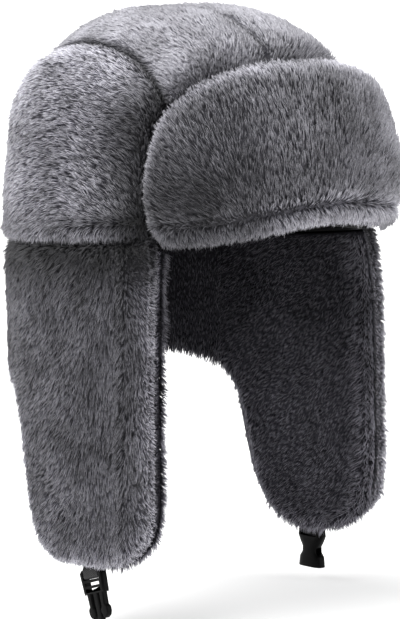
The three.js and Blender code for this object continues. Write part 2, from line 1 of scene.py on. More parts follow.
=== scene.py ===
"""An ushanka in grey faux fur: its pile, plush lining, webbing and buckle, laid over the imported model.

Sizes in the tables below are millimetres and degrees. Angles are measured round the head from the
forehead towards the wearer's left, and heights from the level of the rim.
"""

import math

import bmesh
import bpy
import numpy as np
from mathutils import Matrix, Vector


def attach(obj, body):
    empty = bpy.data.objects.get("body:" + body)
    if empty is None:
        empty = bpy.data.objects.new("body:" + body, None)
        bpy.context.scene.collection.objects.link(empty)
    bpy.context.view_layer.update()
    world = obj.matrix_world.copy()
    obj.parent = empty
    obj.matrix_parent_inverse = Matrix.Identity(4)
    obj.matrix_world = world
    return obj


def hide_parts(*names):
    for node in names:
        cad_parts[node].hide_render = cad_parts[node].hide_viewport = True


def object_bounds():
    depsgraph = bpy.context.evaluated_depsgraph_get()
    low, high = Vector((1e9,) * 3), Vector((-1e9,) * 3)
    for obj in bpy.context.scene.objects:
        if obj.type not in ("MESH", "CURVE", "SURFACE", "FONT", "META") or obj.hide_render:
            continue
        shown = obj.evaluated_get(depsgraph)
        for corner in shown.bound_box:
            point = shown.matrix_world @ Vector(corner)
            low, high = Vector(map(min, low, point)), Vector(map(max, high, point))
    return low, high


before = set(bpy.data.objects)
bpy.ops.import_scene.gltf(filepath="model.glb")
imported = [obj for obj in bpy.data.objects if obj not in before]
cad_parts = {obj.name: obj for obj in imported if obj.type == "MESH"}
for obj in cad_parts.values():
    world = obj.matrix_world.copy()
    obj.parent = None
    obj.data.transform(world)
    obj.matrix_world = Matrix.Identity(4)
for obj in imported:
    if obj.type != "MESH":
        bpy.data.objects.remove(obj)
CAD_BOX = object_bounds()

bl_info = {
    "name": "Ushanka",
    "version": (1, 0, 0),
    "blender": (4, 5, 0),
    "location": "View3D > Sidebar > Ushanka",
    "description": "Faux fur, plush, webbing and buckle finish for an ushanka",
    "category": "Object",
}

MM = 0.001

# The hollow for the head, and the superellipse powers of its plan and of its dome.
HALF_WIDTH, HALF_LENGTH, DEPTH = 84.0, 98.0, 118.0
PLAN_ROUND, DOME_ROUND = 2.3, 2.5
RIM = -DEPTH
# The top of the crown is set back. Its hem is lowest at the nape, and climbs towards the brow.
LEAN = 4.5
RIM_NAPE, RIM_CLIMB = -5.0, 22.5
# The band starts a gap below the hem, and the crown's lining reaches below it. Panels lie a gap apart.
RIM_GAP, LINING_DROP, GAP = 1.2, 6.0, 0.8

# Each layer lies between two distances outside the hollow.
CROWN_LINING = (0.0, 4.7)
CROWN_FUR = (5.6, 18.0)
PEAK_BACK = (9.8, 15.0)
PEAK_FACE = (15.9, 26.5)
BAND_LINING = (-1.3, 6.4)
BAND_FUR = (7.4, 17.8)

# Seams are upright planes, x = place + slant * y.
SIDE_SEAM = (66.0, 0.145)
TOP_SEAM = (-7.0, 0.05)
# A side panel's top corners lie at this share of the side seam's way from its feet.
SHOULDER = 50 / 180
# The lining's cap ends at this share of the way down, on a wall of about this length.
LINING_SEAM, LINING_LENGTH = 0.46, 160.0

# The turned-up peak: its angles are half_span and foot, and the rest are heights and distances.
PEAK = {
    "half_span": 56.7, "waist": 40.0, "top": 103.0, "corner": 2.45, "foot": 52.0, "hem": 2.2, "rise": 11.2,
    "tilt": 4.5, "end_lift": 4.5, "stand": 5.0, "tuck": 7.0,
}
# Under the peak the crown is pressed down. Beside it the crown rises from a lip over a length.
CROWN_PRESSED, PRESS_START, PRESS_END, LIP, LIP_END = 8.6, -0.5, 3.0, 16.0, 10.0
# Each panel is fuller in its middle, and the side panels at their shoulders.
CROWN_CROWNED, SHOULDER_FULL = 0.8, 4.0

# Borders of an ear flap and of the nape, as rows of an angle and a height.
FLAP_FRONT = ((53, -151), (54.4, -164), (58.5, -175))
FLAP_BOTTOM = ((58.5, -175), (66, -183), (76, -186.2), (87, -186.5), (96.5, -184), (104.3, -175))
FLAP_BACK = ((126, -91), (120.2, -103), (117, -118), (113.4, -142), (110, -159.5), (104.3, -175))
# The outer layer reaches further at the low back corner: degrees and millimetres.
FULLER_CORNER = (2.5, -4.5)
NAPE = ((126, -91), (138, -84), (155, -79.5), (180, -78.5))
# Ear flaps flare out by a size, between two angles and below a height.
FLARE = {"size": 11.0, "start_angle": 73.0, "end_angle": 53.0, "start": 8.0, "reach": 28.0}
# The part of a flap's grid rows that lies level with the nape.
ROW_SHARE = 10 / 18
# Marks along a border lie this far apart.
MARK_STEP = 0.8
# The outer layer ends behind the lining at the front edge, by these degrees, which fade out at an angle.
FUR_SET_BACK, LINING_SET_BACK, SET_BACK_END = 2.4, 0.3, 80.0
# Plush turns round the front edge as far as this angle.
TURNED_END = 68.0

# Edges roll over towards a seam within a length, and keep a share of their thickness at it.
ROLL_CROWN, ROLL_PEAK, ROLL_BAND, ROLL_BROW = 5.0, 12.0, 8.0, 16.0
LEFT_CROWN, LEFT_PEAK, LEFT_BAND, LEFT_HANGING, LEFT_HEM, LEFT_BROW = 0.45, 0.08, 0.05, 0.6, 0.72, 0.3
LEFT_LINING = 0.95
# The crown is full over this height beside its hem, and drawn in by a seam past the next.
RIM_FULL, RIM_END = 14.0, 30.0

# Partings: heights above the crown's hem and the peak's hem, and an angle beside a flap's front edge.
CROWN_PARTING, PEAK_PARTING, FRONT_PARTING = 9.5, 11.0, 66.0
# Painted light and shade: how much paler or darker the pile's colour is painted than its plain colour, by
# place, for light falling on it or shade over it.
SIDE_SHADE = {"by_peak": 0.25, "away": 1.3, "high": 0.35, "parting": -0.35}
TOP_SHADE = {"by_peak": 0.85, "away": 1.01, "top_seam": 0.8}
SEAM_SHADE = 0.35
PEAK_SHADE = {
    "edge": 1.05, "middle": 0.63, "parting": 0.5, "hem": 0.2,
    "low_right": -0.6, "left": 1.9, "low_left": -0.55,
}
FLAP_SHADE = {"under_hem": 0.1, "middle": 0.6, "foot": 0.12, "parting": -0.25, "edge": 2.2}
PLUSH_SHADE = {"high": 0.95, "low": 2.0, "nape": 0.65, "edge": 1.5}
TURNED_SHADE = {"high": 4.5, "low": 2.4, "left": 0.3}

# Buckle halves hang on tabs of webbing, with their bars just below the ear flaps.
WEBBING_WIDTH, WEBBING_THICKNESS, WEBBING_SAG, WEBBING_BEND = 13.0, 1.2, 0.9, 0.9
BAR_HEIGHT, BAR_THICKNESS, BAR_CLEAR = 3.4, 2.2, 0.3
HANG = {"out": 7.0, "angle": 83.4, "drop": 0.9, "plug_drop": 2.6, "stem": 8.5, "plug_tilt": 17.0}

BEVEL = {"width": 0.35, "doubles": 0.01, "flat": 1.0, "sharp": 35.0}

# The picture: its height, where the hat's middle and rim lie in it, and its scale.
VIEW_HEIGHT_PX, CENTRE_ROW_PX, RIM_ROW_PX, RIGHT_OF_MIDDLE_PX = 619, 309.5, 232, 6
MM_PER_PX = 0.6
SENSOR = 36.0
FLOOR_GAP, FLOOR_REACH = 1.5, 30000.0


def srgb(code):
    """Linear RGB from an sRGB hex colour."""
    parts = [int(code[k : k + 2], 16) / 255 for k in (1, 3, 5)]
    return tuple(c / 12.92 if c <= 0.04045 else ((c + 0.055) / 1.055) ** 2.4 for c in parts)


def smooth(value, start, end):
    """0 before start, 1 after end, and 3t^2 - 2t^3 between them."""
    t = np.clip((value - start) / (end - start), 0, 1)
    return t * t * (3 - 2 * t)


def lerp(a, b, t):
    """A blend: a where t is 0, b where t is 1."""
    return a + (b - a) * t


def unit(vectors):
    """Vectors over their lengths."""
    return vectors / np.maximum(np.linalg.norm(vectors, axis=-1, keepdims=True), 1e-9)


def dot(a, b):
    """Sum of products along the last axis, which is kept."""
    return np.sum(a * b, axis=-1, keepdims=True)


# The shells round the hollow


def shell_reach(way, out):
    """Distance from the middle of the rim along a unit vector to the shell `out` outside the hollow:
    the superellipsoid |x/a|^p + |y/b|^p, raised to q/p, plus (z/c)^q, equals 1."""
    across = np.abs(way[..., 0] / (HALF_WIDTH + out)) ** PLAN_ROUND
    along = np.abs(way[..., 1] / (HALF_LENGTH + out)) ** PLAN_ROUND
    rise = np.maximum(way[..., 2], 0) / (DEPTH + out)
    return ((across + along) ** (DOME_ROUND / PLAN_ROUND) + rise**DOME_ROUND) ** (-1 / DOME_ROUND)


def dome_points(way, out):
    """Points on the shell in given directions: direction times reach, from the middle of the rim."""
    way = unit(way)
    return way * shell_reach(way, out)[..., None] + np.array((0, 0, RIM))


def wall_points(angle, height, out):
    """Points at an angle and a height: the plan's reach shrinks as (1 - (h/c)^q)^(1/q) above the rim."""
    angle = np.radians(angle)
    way = np.stack((np.sin(angle), -np.cos(angle), np.zeros_like(angle)), axis=-1)
    rise = np.clip(height, 0, None) / (DEPTH + out)
    reach = shell_reach(way, out) * np.clip(1 - rise**DOME_ROUND, 0, None) ** (1 / DOME_ROUND)
    points = way * reach[..., None]
    points[..., 2] = RIM + height
    return points


def band_points(angle, height, out):
    """Points of the band: a wall whose ear flaps flare out towards their front edges, by a square
    of the angle and by 1 - exp(depth / reach)."""
    span = FLARE["start_angle"] - FLARE["end_angle"]
    turn = np.clip((FLARE["start_angle"] - np.abs(angle)) / span, 0, None)
    sink = 1 - np.exp(np.clip(height - FLARE["start"], None, 0) / FLARE["reach"])
    return wall_points(angle, height, out + FLARE["size"] * turn**2 * sink)


def leaned(points):
    """Points set back in Y in proportion to their height above the rim."""
    moved = points.copy()
    moved[..., 1] += LEAN * np.clip(points[..., 2] - RIM, 0, None) / DEPTH
    return moved


def rim_height(angle):
    """The hem's height: the nape's, plus the climb times (1 - |angle| / 180)^2."""
    return RIM_NAPE + RIM_CLIMB * (1 - np.abs(angle) / 180) ** 2


def angle_of(points):
    """Degrees round the head from the forehead: the arc tangent of x over -y."""
    return np.degrees(np.arctan2(points[..., 0], -points[..., 1]))


# Grids, curves and patches


def lines(length, count, roll, start=True, end=True):
    """Shares of a length: close together over a rolled edge, and even between the edges."""
    near = np.array((0, 0.12, 0.32, 0.6, 1.0)) * roll
    first = near if start else near[:1]
    last = length - (near if end else near[:1])[::-1]
    middle = np.linspace(first[-1], last[0], count + 1)[1:-1]
    return np.concatenate((first, middle, last)) / length


def table_curve(rows, mirror=1):
    """A centripetal Catmull-Rom curve through rows of angle and height, by its share of length.
    A degree counts as 1.9 mm round the head."""
    scale = np.array((1.9, 1.0))
    rows = np.array(rows, float) * (mirror, 1) * scale
    rows = np.vstack((2 * rows[0] - rows[1], rows, 2 * rows[-1] - rows[-2]))
    steps = np.linalg.norm(np.diff(rows, axis=0), axis=1) ** 0.5
    t = np.linspace(0, 1, 60)[:, None]
    runs = []
    for k in range(len(rows) - 3):
        a, b, c, d = rows[k : k + 4]
        p, q, r = steps[k : k + 3]
        start = ((b - a) / p - (c - a) / (p + q) + (c - b) / q) * q
        end = ((c - b) / q - (d - b) / (q + r) + (d - c) / r) * q
        square, cube = 3 * (c - b) - 2 * start - end, 2 * (b - c) + start + end
        runs.append(b + start * t + square * t**2 + cube * t**3)
    points = np.vstack(runs)
    length = np.concatenate(((0,), np.cumsum(np.linalg.norm(np.diff(points, axis=0), axis=1))))
    points = points / scale

    def at(share):
        along = np.clip(share, 0, 1) * length[-1]
        return np.stack([np.interp(along, length, points[:, k]) for k in (0, 1)], axis=-1)

    return at


def patch(top, bottom, left, right):
    """A Coons patch: the blend of top and bottom, plus that of left and right, less that of corners."""
    ends = [curve(np.array((0.0, 1.0))) for curve in (top, bottom)]

    def at(u, v):
        a, b = u[..., None], v[..., None]
        across = lerp(top(u), bottom(u), b)
        down = lerp(left(v), right(v), a)
        corners = lerp(lerp(ends[0][0], ends[0][1], a), lerp(ends[1][0], ends[1][1], a), b)
        return across + down - corners

    return at


def nearest(points, marks):
    """For each point, the index of the nearest mark and the distance to it, worked out in batches."""
    flat = points.reshape(-1, 3)
    index = np.empty(len(flat), int)
    square = np.sum(marks**2, axis=1)
    for start in range(0, len(flat), 4000):
        part = flat[start : start + 4000]
        index[start : start + 4000] = np.argmin(square - 2 * part @ marks.T, axis=1)
    away = np.linalg.norm(flat - marks[index], axis=1)
    return index.reshape(points.shape[:-1]), away.reshape(points.shape[:-1])


def dense(points, step=MARK_STEP):
    """Points at even steps along a polyline."""
    length = np.concatenate(((0,), np.cumsum(np.linalg.norm(np.diff(points, axis=0), axis=1))))
    along = np.arange(0, length[-1], step)
    return np.stack([np.interp(along, length, points[:, k]) for k in range(3)], axis=1)


def fullness(distance, roll, left):
    """How full a rolled edge is at a distance from its border: a quarter round, sqrt(1 - (1 - d / roll)^2),
    over the share that is left at the seam."""
    short = np.clip(1 - distance / roll, 0, None)
    return left + (1 - left) * np.sqrt(1 - short**2)


def left_at(points, left):
    """The share of thickness left at the crown's border: more along its hem."""
    return lerp(LEFT_HEM, left, smooth(np.abs(points[..., 2] - RIM), RIM_FULL, RIM_END))


# Meshes


def halves(a, b, c, d):
    """Two triangles for each four-sided cell, from arrays of the indices of its corners."""
    quads = np.stack((a, b, c, d), axis=-1).reshape(-1, 4)
    return np.vstack((quads[:, (0, 1, 2)], quads[:, (0, 2, 3)]))


def grid_faces(rows, columns):
    """Two triangles for each cell of a grid of points."""
    index = np.arange(rows * columns).reshape(rows, columns)
    return halves(index[:-1, :-1], index[1:, :-1], index[1:, 1:], index[:-1, 1:])


def close_grid(face, back):
    """A closed solid between two grids of points, with walls along the four borders."""
    rows, columns = face.shape[:2]
    count = rows * columns
    index = np.arange(count).reshape(rows, columns)
    loop = np.concatenate((index[0, :-1], index[:-1, -1], index[-1, :0:-1], index[:0:-1, 0]))
    after = np.roll(loop, -1)
    front = grid_faces(rows, columns)
    walls = halves(loop, after, after + count, loop + count)
    points = np.vstack((face.reshape(-1, 3), back.reshape(-1, 3)))
    return points, np.vstack((front, front[:, ::-1] + count, walls))


def grid_normals(points):
    """Unit cross product of a grid's steps down and across."""
    down = np.gradient(points, axis=0)
    across = np.gradient(points, axis=1)
    return unit(np.cross(down, across))


def make_piece(name, points, faces, values=None):
    """A mesh object from points in millimetres, triangles, and named numbers for each point."""
    mesh = bpy.data.meshes.new(name)
    mesh.vertices.add(len(points))
    mesh.vertices.foreach_set("co", (np.asarray(points) * MM).astype(np.float32).ravel())
    mesh.loops.add(faces.size)
    mesh.loops.foreach_set("vertex_index", faces.astype(np.int32).ravel())
    mesh.polygons.add(len(faces))
    mesh.polygons.foreach_set("loop_start", np.arange(0, faces.size, 3, dtype=np.int32))
    mesh.polygons.foreach_set("use_smooth", np.ones(len(faces), bool))
    for key, numbers in (values or {}).items():
        layer = mesh.attributes.new(key, "FLOAT", "POINT")
        layer.data.foreach_set("value", np.asarray(numbers, np.float32))
    mesh.update(calc_edges=True)
    piece = bpy.data.objects.new(name, mesh)
    bpy.context.scene.collection.objects.link(piece)
    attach(piece, "root")
    return piece


# Pile

# How strands differ: their lifts by lock, by strand and in waves, and what a parting adds to them.
LOCK_LIFT, STRAND_LIFT, WAVE_LIFT, UPRIGHT_LIFT, LEAST_LIFT, MOST_LIFT = 0.06, 0.07, 0.05, 0.8, 0.08, 1.3
WAVES, WAVE_LENGTHS, WAVE_HEIGHT = 4, (35, 80), 1.4
SIZE_SPREAD, LOCK_TONE = 0.12, 0.25
# A strand's raised middle lies at a share of its length, and its root lies under the skin.
RIDGE, ROOT_DEPTH = 0.42, 0.5
# What soft shading does: how much paler a strand's root is painted, with less painted shade, and how far its
# tone moves to the middle.
SOFT_ROOT, SOFT_TONE = 0.6, 0.7
# How far pile stands up along a parting, and how thick it lies on the padding.
PARTED, FUR_DEPTH, PLUSH_DEPTH = 0.6, 2.4, 1.8


def grow(face, style, rng):
    """Strands on a grid of points: each a closed sliver with two roots, a raised middle and a tip.

    A strand leaves its root along nap * cos(lift) + normal * sin(lift), times its length. Strands
    are gathered in locks: each lock has its own turn, lift and length, and draws its tips together.
    Where pile is softly shaded, its roots are painted paler, with less painted shade, and its strands more
    alike. Distances from the edge are in millimetres, and turns and lifts in radians.
    """
    points = face["points"]
    corner = points[:-1, :-1]
    area = np.linalg.norm(np.cross(points[1:, :-1] - corner, points[:-1, 1:] - corner), axis=-1)
    thick = style["where"](face) * (1 + style["crowd"] * (1 - smooth(face["edge"], 2, 7)))
    share = np.cumsum((area * (thick[:-1, :-1] + thick[1:, 1:]) / 2).ravel())
    count = int(share[-1] * style["density"])
    cell = np.searchsorted(share, rng.random(count) * share[-1])
    row, column = np.unravel_index(np.minimum(cell, area.size - 1), area.shape)
    a, b = rng.random((2, count, 1))

    def spread(values):
        values = values.reshape(*points.shape[:2], -1)
        top = lerp(values[row, column], values[row, column + 1], a)
        low = lerp(values[row + 1, column], values[row + 1, column + 1], a)
        return lerp(top, low, b)

    root = spread(points)
    normal = unit(spread(face["normals"]))
    edge = spread(face["edge"])
    outward = spread(face["outward"])
    flat = unit(spread(face["flat"]))
    outward = outward * dot(normal, flat) - flat * dot(normal, outward)
    outward = outward * np.where(rng.random((count, 1)) < style["stray"], -1, 1)
    nap = style["nap"](root, edge, outward)
    nap = nap - normal * dot(nap, normal)
    upright = 1 - np.clip(np.linalg.norm(nap, axis=1), 0, 1)
    nap = unit(nap)

    locks = max(8, int(count / style["per_lock"]))
    middle = root[rng.choice(count, locks, replace=False)]
    lock = nearest(root, middle)[0]
    turn = rng.normal(0, style["lock_turn"], locks)[lock] + rng.normal(0, style["turn"], count)
    turn = (turn + style["wander"] * waves(root, rng))[:, None]
    nap = nap * np.cos(turn) + np.cross(normal, nap) * np.sin(turn)
    lift = style["lift"] + rng.normal(0, LOCK_LIFT, locks)[lock] + rng.normal(0, STRAND_LIFT, count)
    lift = lift + WAVE_LIFT * waves(root, rng)
    lift = lift + style["ruffle"] * (1 - smooth(edge[:, 0], 0, 5)) + UPRIGHT_LIFT * upright
    lift = np.clip(lift, LEAST_LIFT, MOST_LIFT)[:, None]
    size = rng.normal(0, SIZE_SPREAD, locks)[lock] + rng.normal(0, SIZE_SPREAD, count)
    size = style["length"] * np.exp(size)[:, None] * style["shape"](edge)
    tip = root + size * (nap * np.cos(lift) + normal * np.sin(lift))
    gathered = np.stack([np.bincount(lock, tip[:, k], locks) for k in range(3)], axis=1)
    gathered = gathered / np.maximum(np.bincount(lock, minlength=locks), 1)[:, None]
    tip = lerp(tip, gathered[lock], style["draw"] * rng.uniform(0.5, 1.0, (count, 1)))

    broad = 1 + style["broad"] * (1 - smooth(edge, 1, 6))
    side = unit(np.cross(normal, tip - root)) * style["width"] / 2 * broad
    ridge = lerp(root, tip, RIDGE) + normal * (style["bow"] * size)
    low = root - normal * ROOT_DEPTH
    strands = np.stack((low - side, low + side, ridge, tip), axis=1).reshape(-1, 3)
    sliver = np.array(((0, 1, 2), (1, 3, 2), (3, 0, 2), (1, 0, 3)))
    faces = (np.arange(count)[:, None, None] * 4 + sliver).reshape(-1, 3)
    soft = style["soft"](root)
    along = lerp(SOFT_ROOT * soft[:, None], 1.0, np.array((0.0, 0.0, RIDGE, 1.0))).ravel()
    tone = rng.random(locks)[lock] * LOCK_TONE + rng.random(count) * (1 - LOCK_TONE)
    tone = lerp(tone, 0.5, SOFT_TONE * soft)
    # Painted light and shade on each strand, by place.
    painted_shading = style["painted_shading"](root, edge[:, 0])
    return strands, faces, along, np.repeat(tone, 4), np.repeat(painted_shading, 4)


def waves(points, rng):
    """A gentle field about 1 high: a sum of sine waves in random directions across the points."""
    ways = unit(rng.normal(size=(WAVES, 3))) * (2 * np.pi / rng.uniform(*WAVE_LENGTHS, (WAVES, 1)))
    return np.sin(points @ ways.T + rng.uniform(0, 2 * np.pi, WAVES)).sum(axis=1) / WAVE_HEIGHT


def laid(points, plain, fringe):
    """What strands need of a grid of points: its normals, those of the plain shell that it lies on,
    the distance to the nearest mark on the fringe, and the way to it."""
    index, edge = nearest(plain, fringe)
    normals = {"normals": grid_normals(points), "flat": grid_normals(plain)}
    return {"points": points, "edge": edge, "outward": unit(fringe[index] - plain), **normals}


def pile_piece(name, plain, face_points, back_points, fringe, style, seed, back_style=None):
    """A closed pad with strands on its face. plain is the pad's face without its rolled edges, and
    fringe marks the edge that strands lean over. back_style is for strands on the other side."""
    if np.mean(dot(grid_normals(face_points), face_points - back_points)) < 0:
        plain, face_points, back_points = plain[:, ::-1], face_points[:, ::-1], back_points[:, ::-1]
    face = laid(face_points, plain, fringe)
    edge = face["edge"]
    points, faces = close_grid(face_points, back_points)
    # The skin between strands is painted darker near its edge, as painted shade, and carries the painted
    # light and shade by place.
    along = np.tile(style["skin"] * lerp(0.7, 1.0, smooth(edge.ravel(), 2, 10)), 2)
    tone = np.full(len(points), 0.5)
    painted_shading = np.tile(style["painted_shading"](face_points.reshape(-1, 3), edge.ravel()), 2)
    sides = [(face, style)]
    if back_style:
        sides.append((laid(back_points[:, ::-1], plain[:, ::-1], fringe), back_style))
    for side, kind in sides:
        if kind["density"]:
            strands, more, *grown = grow(side, kind, np.random.default_rng(seed))
            faces = np.vstack((faces, more + len(points)))
            points = np.vstack((points, strands))
            along, tone, painted_shading = (np.concatenate(pair) for pair in zip((along, tone, painted_shading), grown))
    piece = make_piece(name, points, faces, {"along": along, "tone": tone, "painted_shading": painted_shading})
    return piece


# Cover where hardly a strand grows, so that no sum of it is 0.
HARDLY = 1e-4


def everywhere(face):
    """Strands grow evenly."""
    return np.ones(face["points"].shape[:2])


def short_at_seams(edge):
    """Half length on the edge, and full length 8 mm from it."""
    return 0.5 + 0.5 * smooth(edge, 0, 8)


def long_at_edges(edge):
    """Longer by 0.4 up to 4 mm from the edge, and by nothing past 18 mm."""
    return 1.0 + 0.4 * (1 - smooth(edge, 4, 18))


def no_painted_shading(root, edge):
    """Pile of its plain colour, with no painted light or shade."""
    return np.ones(len(root))


def crisp_shading(root):
    """Pile whose roots keep all their painted shade."""
    return np.zeros(len(root))


def dim_painted_shading(root, edge):
    """Painted shade: pile painted at a fifth of its colour, where little light reaches."""
    return np.full(len(root), 0.2)


# Pile: how densely and in what locks it grows, how it lies, its painted light and shade and soft shading, and
# the size of a strand.
# crowd, broad and ruffle add strands, width and lift along the edge.
FUR = {
    "where": everywhere, "shape": short_at_seams, "painted_shading": no_painted_shading, "soft": crisp_shading, "skin": 0.0,
    "density": 0.97, "crowd": 0.0, "per_lock": 4, "draw": 0.35,
    "lock_turn": 0.14, "turn": 0.16, "wander": 0.14,
    "stray": 0.0, "lift": 0.3, "ruffle": 0.1, "length": 6.4, "width": 0.54, "broad": 0.0, "bow": 0.04,
}
PLUSH = {
    "where": everywhere, "shape": long_at_edges, "painted_shading": no_painted_shading, "soft": crisp_shading, "skin": 0.3,
    "density": 0.55, "crowd": 2.2, "per_lock": 3, "draw": 0.2, "lock_turn": 0.06, "turn": 0.14, "wander": 0.1,
    "stray": 0.3, "lift": 0.24, "ruffle": 0.2, "length": 4.4, "width": 0.6, "broad": 0.5, "bow": 0.04,
}


def fur_style(settings):
    """Outer pile with the length and density of the settings."""
    return dict(FUR, length=settings.fur_length / MM, density=settings.fur_density)


def plush_style(settings):
    """The lining's pile with the length and density of the settings."""
    return dict(PLUSH, length=settings.plush_length / MM, density=settings.plush_density)


# The crown

FARTHEST, HALVINGS = 200.0, 26
# Pile is brushed round a line this far under the rim, and leans a little over a seam.
SWEEP_DEPTH, SEAM_LEAN = 25.0, 0.1
# The top seam is nearer than a side seam up to this distance from the middle.
TOP_MIDDLE = 35.0
LEAST_PAD = 0.8
LINING_ROWS, LINING_COLUMNS, LINING_SPREAD = 16, 90, 0.85
# The crown's lining: its colour part-way up the pile, an even tone, and painted shade at a tenth of its
# colour for the shaded inside of the hat.
LINING_PILE = {"along": 0.3, "tone": 0.5, "painted_shading": 0.1}


def seam_direction(seam, turn, shift):
    """Where an upright seam plane crosses the outer shell, at a turn from the front rim over the
    top: the reach along the turn is halved until x = place + slant * y + shift lies on the shell."""
    turn = np.radians(turn)
    near, far = np.zeros_like(turn), np.full_like(turn, FARTHEST)
    for _ in range(HALVINGS):
        reach = (near + far) / 2
        y = -reach * np.cos(turn)
        point = np.stack((seam[0] + seam[1] * y + shift, y, reach * np.sin(turn)), axis=-1)
        inside = np.linalg.norm(point, axis=-1) < shell_reach(unit(point), CROWN_FUR[1])
        near, far = np.where(inside, reach, near), np.where(inside, far, reach)
    return point


def seam_points(seam, part, shift):
    """The seam's directions by their part of the way between its two crossings of the rim."""
    ends = seam_direction(seam, np.array((0.0, 180.0)), shift)
    lift = np.degrees(np.arcsin(rim_height(angle_of(ends)) / np.abs(ends[:, 1])))
    return seam_direction(seam, lerp(lift[0], 180 - lift[1], part), shift)


def peak_top(angle):
    """The peak stands a little higher on the wearer's left."""
    return PEAK["top"] + PEAK["tilt"] * smooth(angle, 5, 45)


def outside_peak(points):
    """Distance outside the peak's outline, or less than 0 inside it: the distance to the middle of its
    foot times 1 - 1 / s, where s^p is (angle / half_span)^p + (rise / top)^p."""
    angle = angle_of(points)
    height = points[..., 2] - RIM
    up = np.clip(height - PEAK["waist"], 0, None)
    rise = up / (peak_top(angle) - PEAK["waist"])
    angle = np.abs(angle)
    power = PEAK["corner"]
    share = ((angle / PEAK["half_span"]) ** power + rise**power) ** (1 / power)
    wide = np.hypot(points[..., 0], points[..., 1]) * np.radians(angle)
    return np.hypot(wide, up) * (1 - 1 / np.maximum(share, 1e-3))


def side_panel_ways(side):
    """Directions over a side panel: a patch between the side seam, which bounds it above and at both
    ends, and the hem."""
    seam = (side * SIDE_SEAM[0], -side * SIDE_SEAM[1])
    shift = side * GAP / 2

    def on_seam(part):
        return unit(seam_points(seam, part, shift))

    feet = angle_of(on_seam(np.array((0.0, 1.0))))

    def on_rim(part):
        angle = lerp(feet[0], feet[1], part)
        return unit(wall_points(angle, rim_height(angle), CROWN_FUR[1]) - np.array((0, 0, RIM)))

    surface = patch(
        lambda u: on_seam(lerp(SHOULDER, 1 - SHOULDER, u)),
        on_rim,
        lambda v: on_seam(SHOULDER * (1 - v)),
        lambda v: on_seam(1 - SHOULDER * (1 - v)),
    )
    return surface(*np.meshgrid(lines(215, 50, ROLL_CROWN), lines(112, 25, ROLL_CROWN)))


def top_panel_ways(side):
    """Directions over a top panel: a blend from the top seam to a side seam."""
    outer = (side * SIDE_SEAM[0], -side * SIDE_SEAM[1])
    shift = side * GAP / 2
    u, v = np.meshgrid(lines(335, 80, ROLL_CROWN), lines(70, 14, ROLL_CROWN))
    return lerp(seam_points(TOP_SEAM, u, shift), seam_points(outer, u, -shift), v[..., None])


def grid_border(points):
    """The four borders of a grid of points, as marks along them."""
    return np.vstack([dense(line) for line in (points[0], points[-1], points[:, 0], points[:, -1])])


def above_rim(root):
    """Height above the crown's hem."""
    return root[..., 2] - RIM - rim_height(angle_of(root))


def beside(distance, middle, reach):
    """1 on a line, and less to either side: exp(-((distance - middle) / reach)^2)."""
    return np.exp(-(((distance - middle) / reach) ** 2))


def crown_nap(root, edge, outward):
    """Pile brushed from the brow over the top and down the back: a turn about the X axis. Over the
    rim it hangs, and beside a seam it leans over the seam."""
    swept = np.zeros_like(root)
    swept[:, 1] = root[:, 2] - RIM + SWEEP_DEPTH
    swept[:, 2] = -root[:, 1]
    nap = unit(swept)
    height = above_rim(root)
    hanging = 1 - smooth(height, 8, 11)[:, None]
    nap = lerp(nap, np.array((0, 0, -1.0)), hanging)
    nap = nap + outward * (SEAM_LEAN * (1 - smooth(edge, 1, 6)) * (1 - hanging))
    return nap * (1 - PARTED * beside(height, CROWN_PARTING, 3.5))[:, None]


def seam_shade(edge, least=SEAM_SHADE):
    """Painted shade: pile is painted darker where a seam draws it into a groove."""
    return lerp(least, 1.0, smooth(edge, 0.8, 4.5))


def side_painted_shading(root, edge):
    """Painted shade and light: pile over the ears is painted darker towards the peak, which shades it, and in
    the parting above the hem, and paler higher up, where light falls.
    """
    shade, height = SIDE_SHADE, above_rim(root)
    away = shade["away"] + shade["high"] * smooth(height, 50, 95)
    parting = 1 + shade["parting"] * beside(height, CROWN_PARTING + 0.5, 5)
    return lerp(shade["by_peak"], away, smooth(outside_peak(root), 5, 50)) * parting * seam_shade(edge)


def top_painted_shading(root, edge):
    """Painted light and shade: pile on top is painted pale, and darker where the peak rises out of it and
    beside the side seams, where it lies in shade.
    """
    away = np.abs(root[:, 0]) > TOP_MIDDLE
    seams = np.where(away, seam_shade(edge), seam_shade(edge, TOP_SHADE["top_seam"]))
    return lerp(TOP_SHADE["by_peak"], TOP_SHADE["away"], smooth(outside_peak(root), 0, 22)) * seams


def side_soft_shading(root):
    """Painted light: roots over the ears keep most of their painted shade, and are painted a little paler
    towards the top.
    """
    return lerp(0.1, 0.22, smooth(root[:, 2] - RIM, 60, 105))


def top_soft_shading(root):
    """Painted light: roots on top are painted paler, with less painted shade."""
    return np.full(len(root), 1.0)


def outside_cover(face):
    """Hardly a strand grows under the peak. They grow fully outside it, and closer along the parting."""
    points = face["points"]
    return (smooth(outside_peak(points), -7, -1) + HARDLY) * (1 + beside(above_rim(points), CROWN_PARTING, 4))


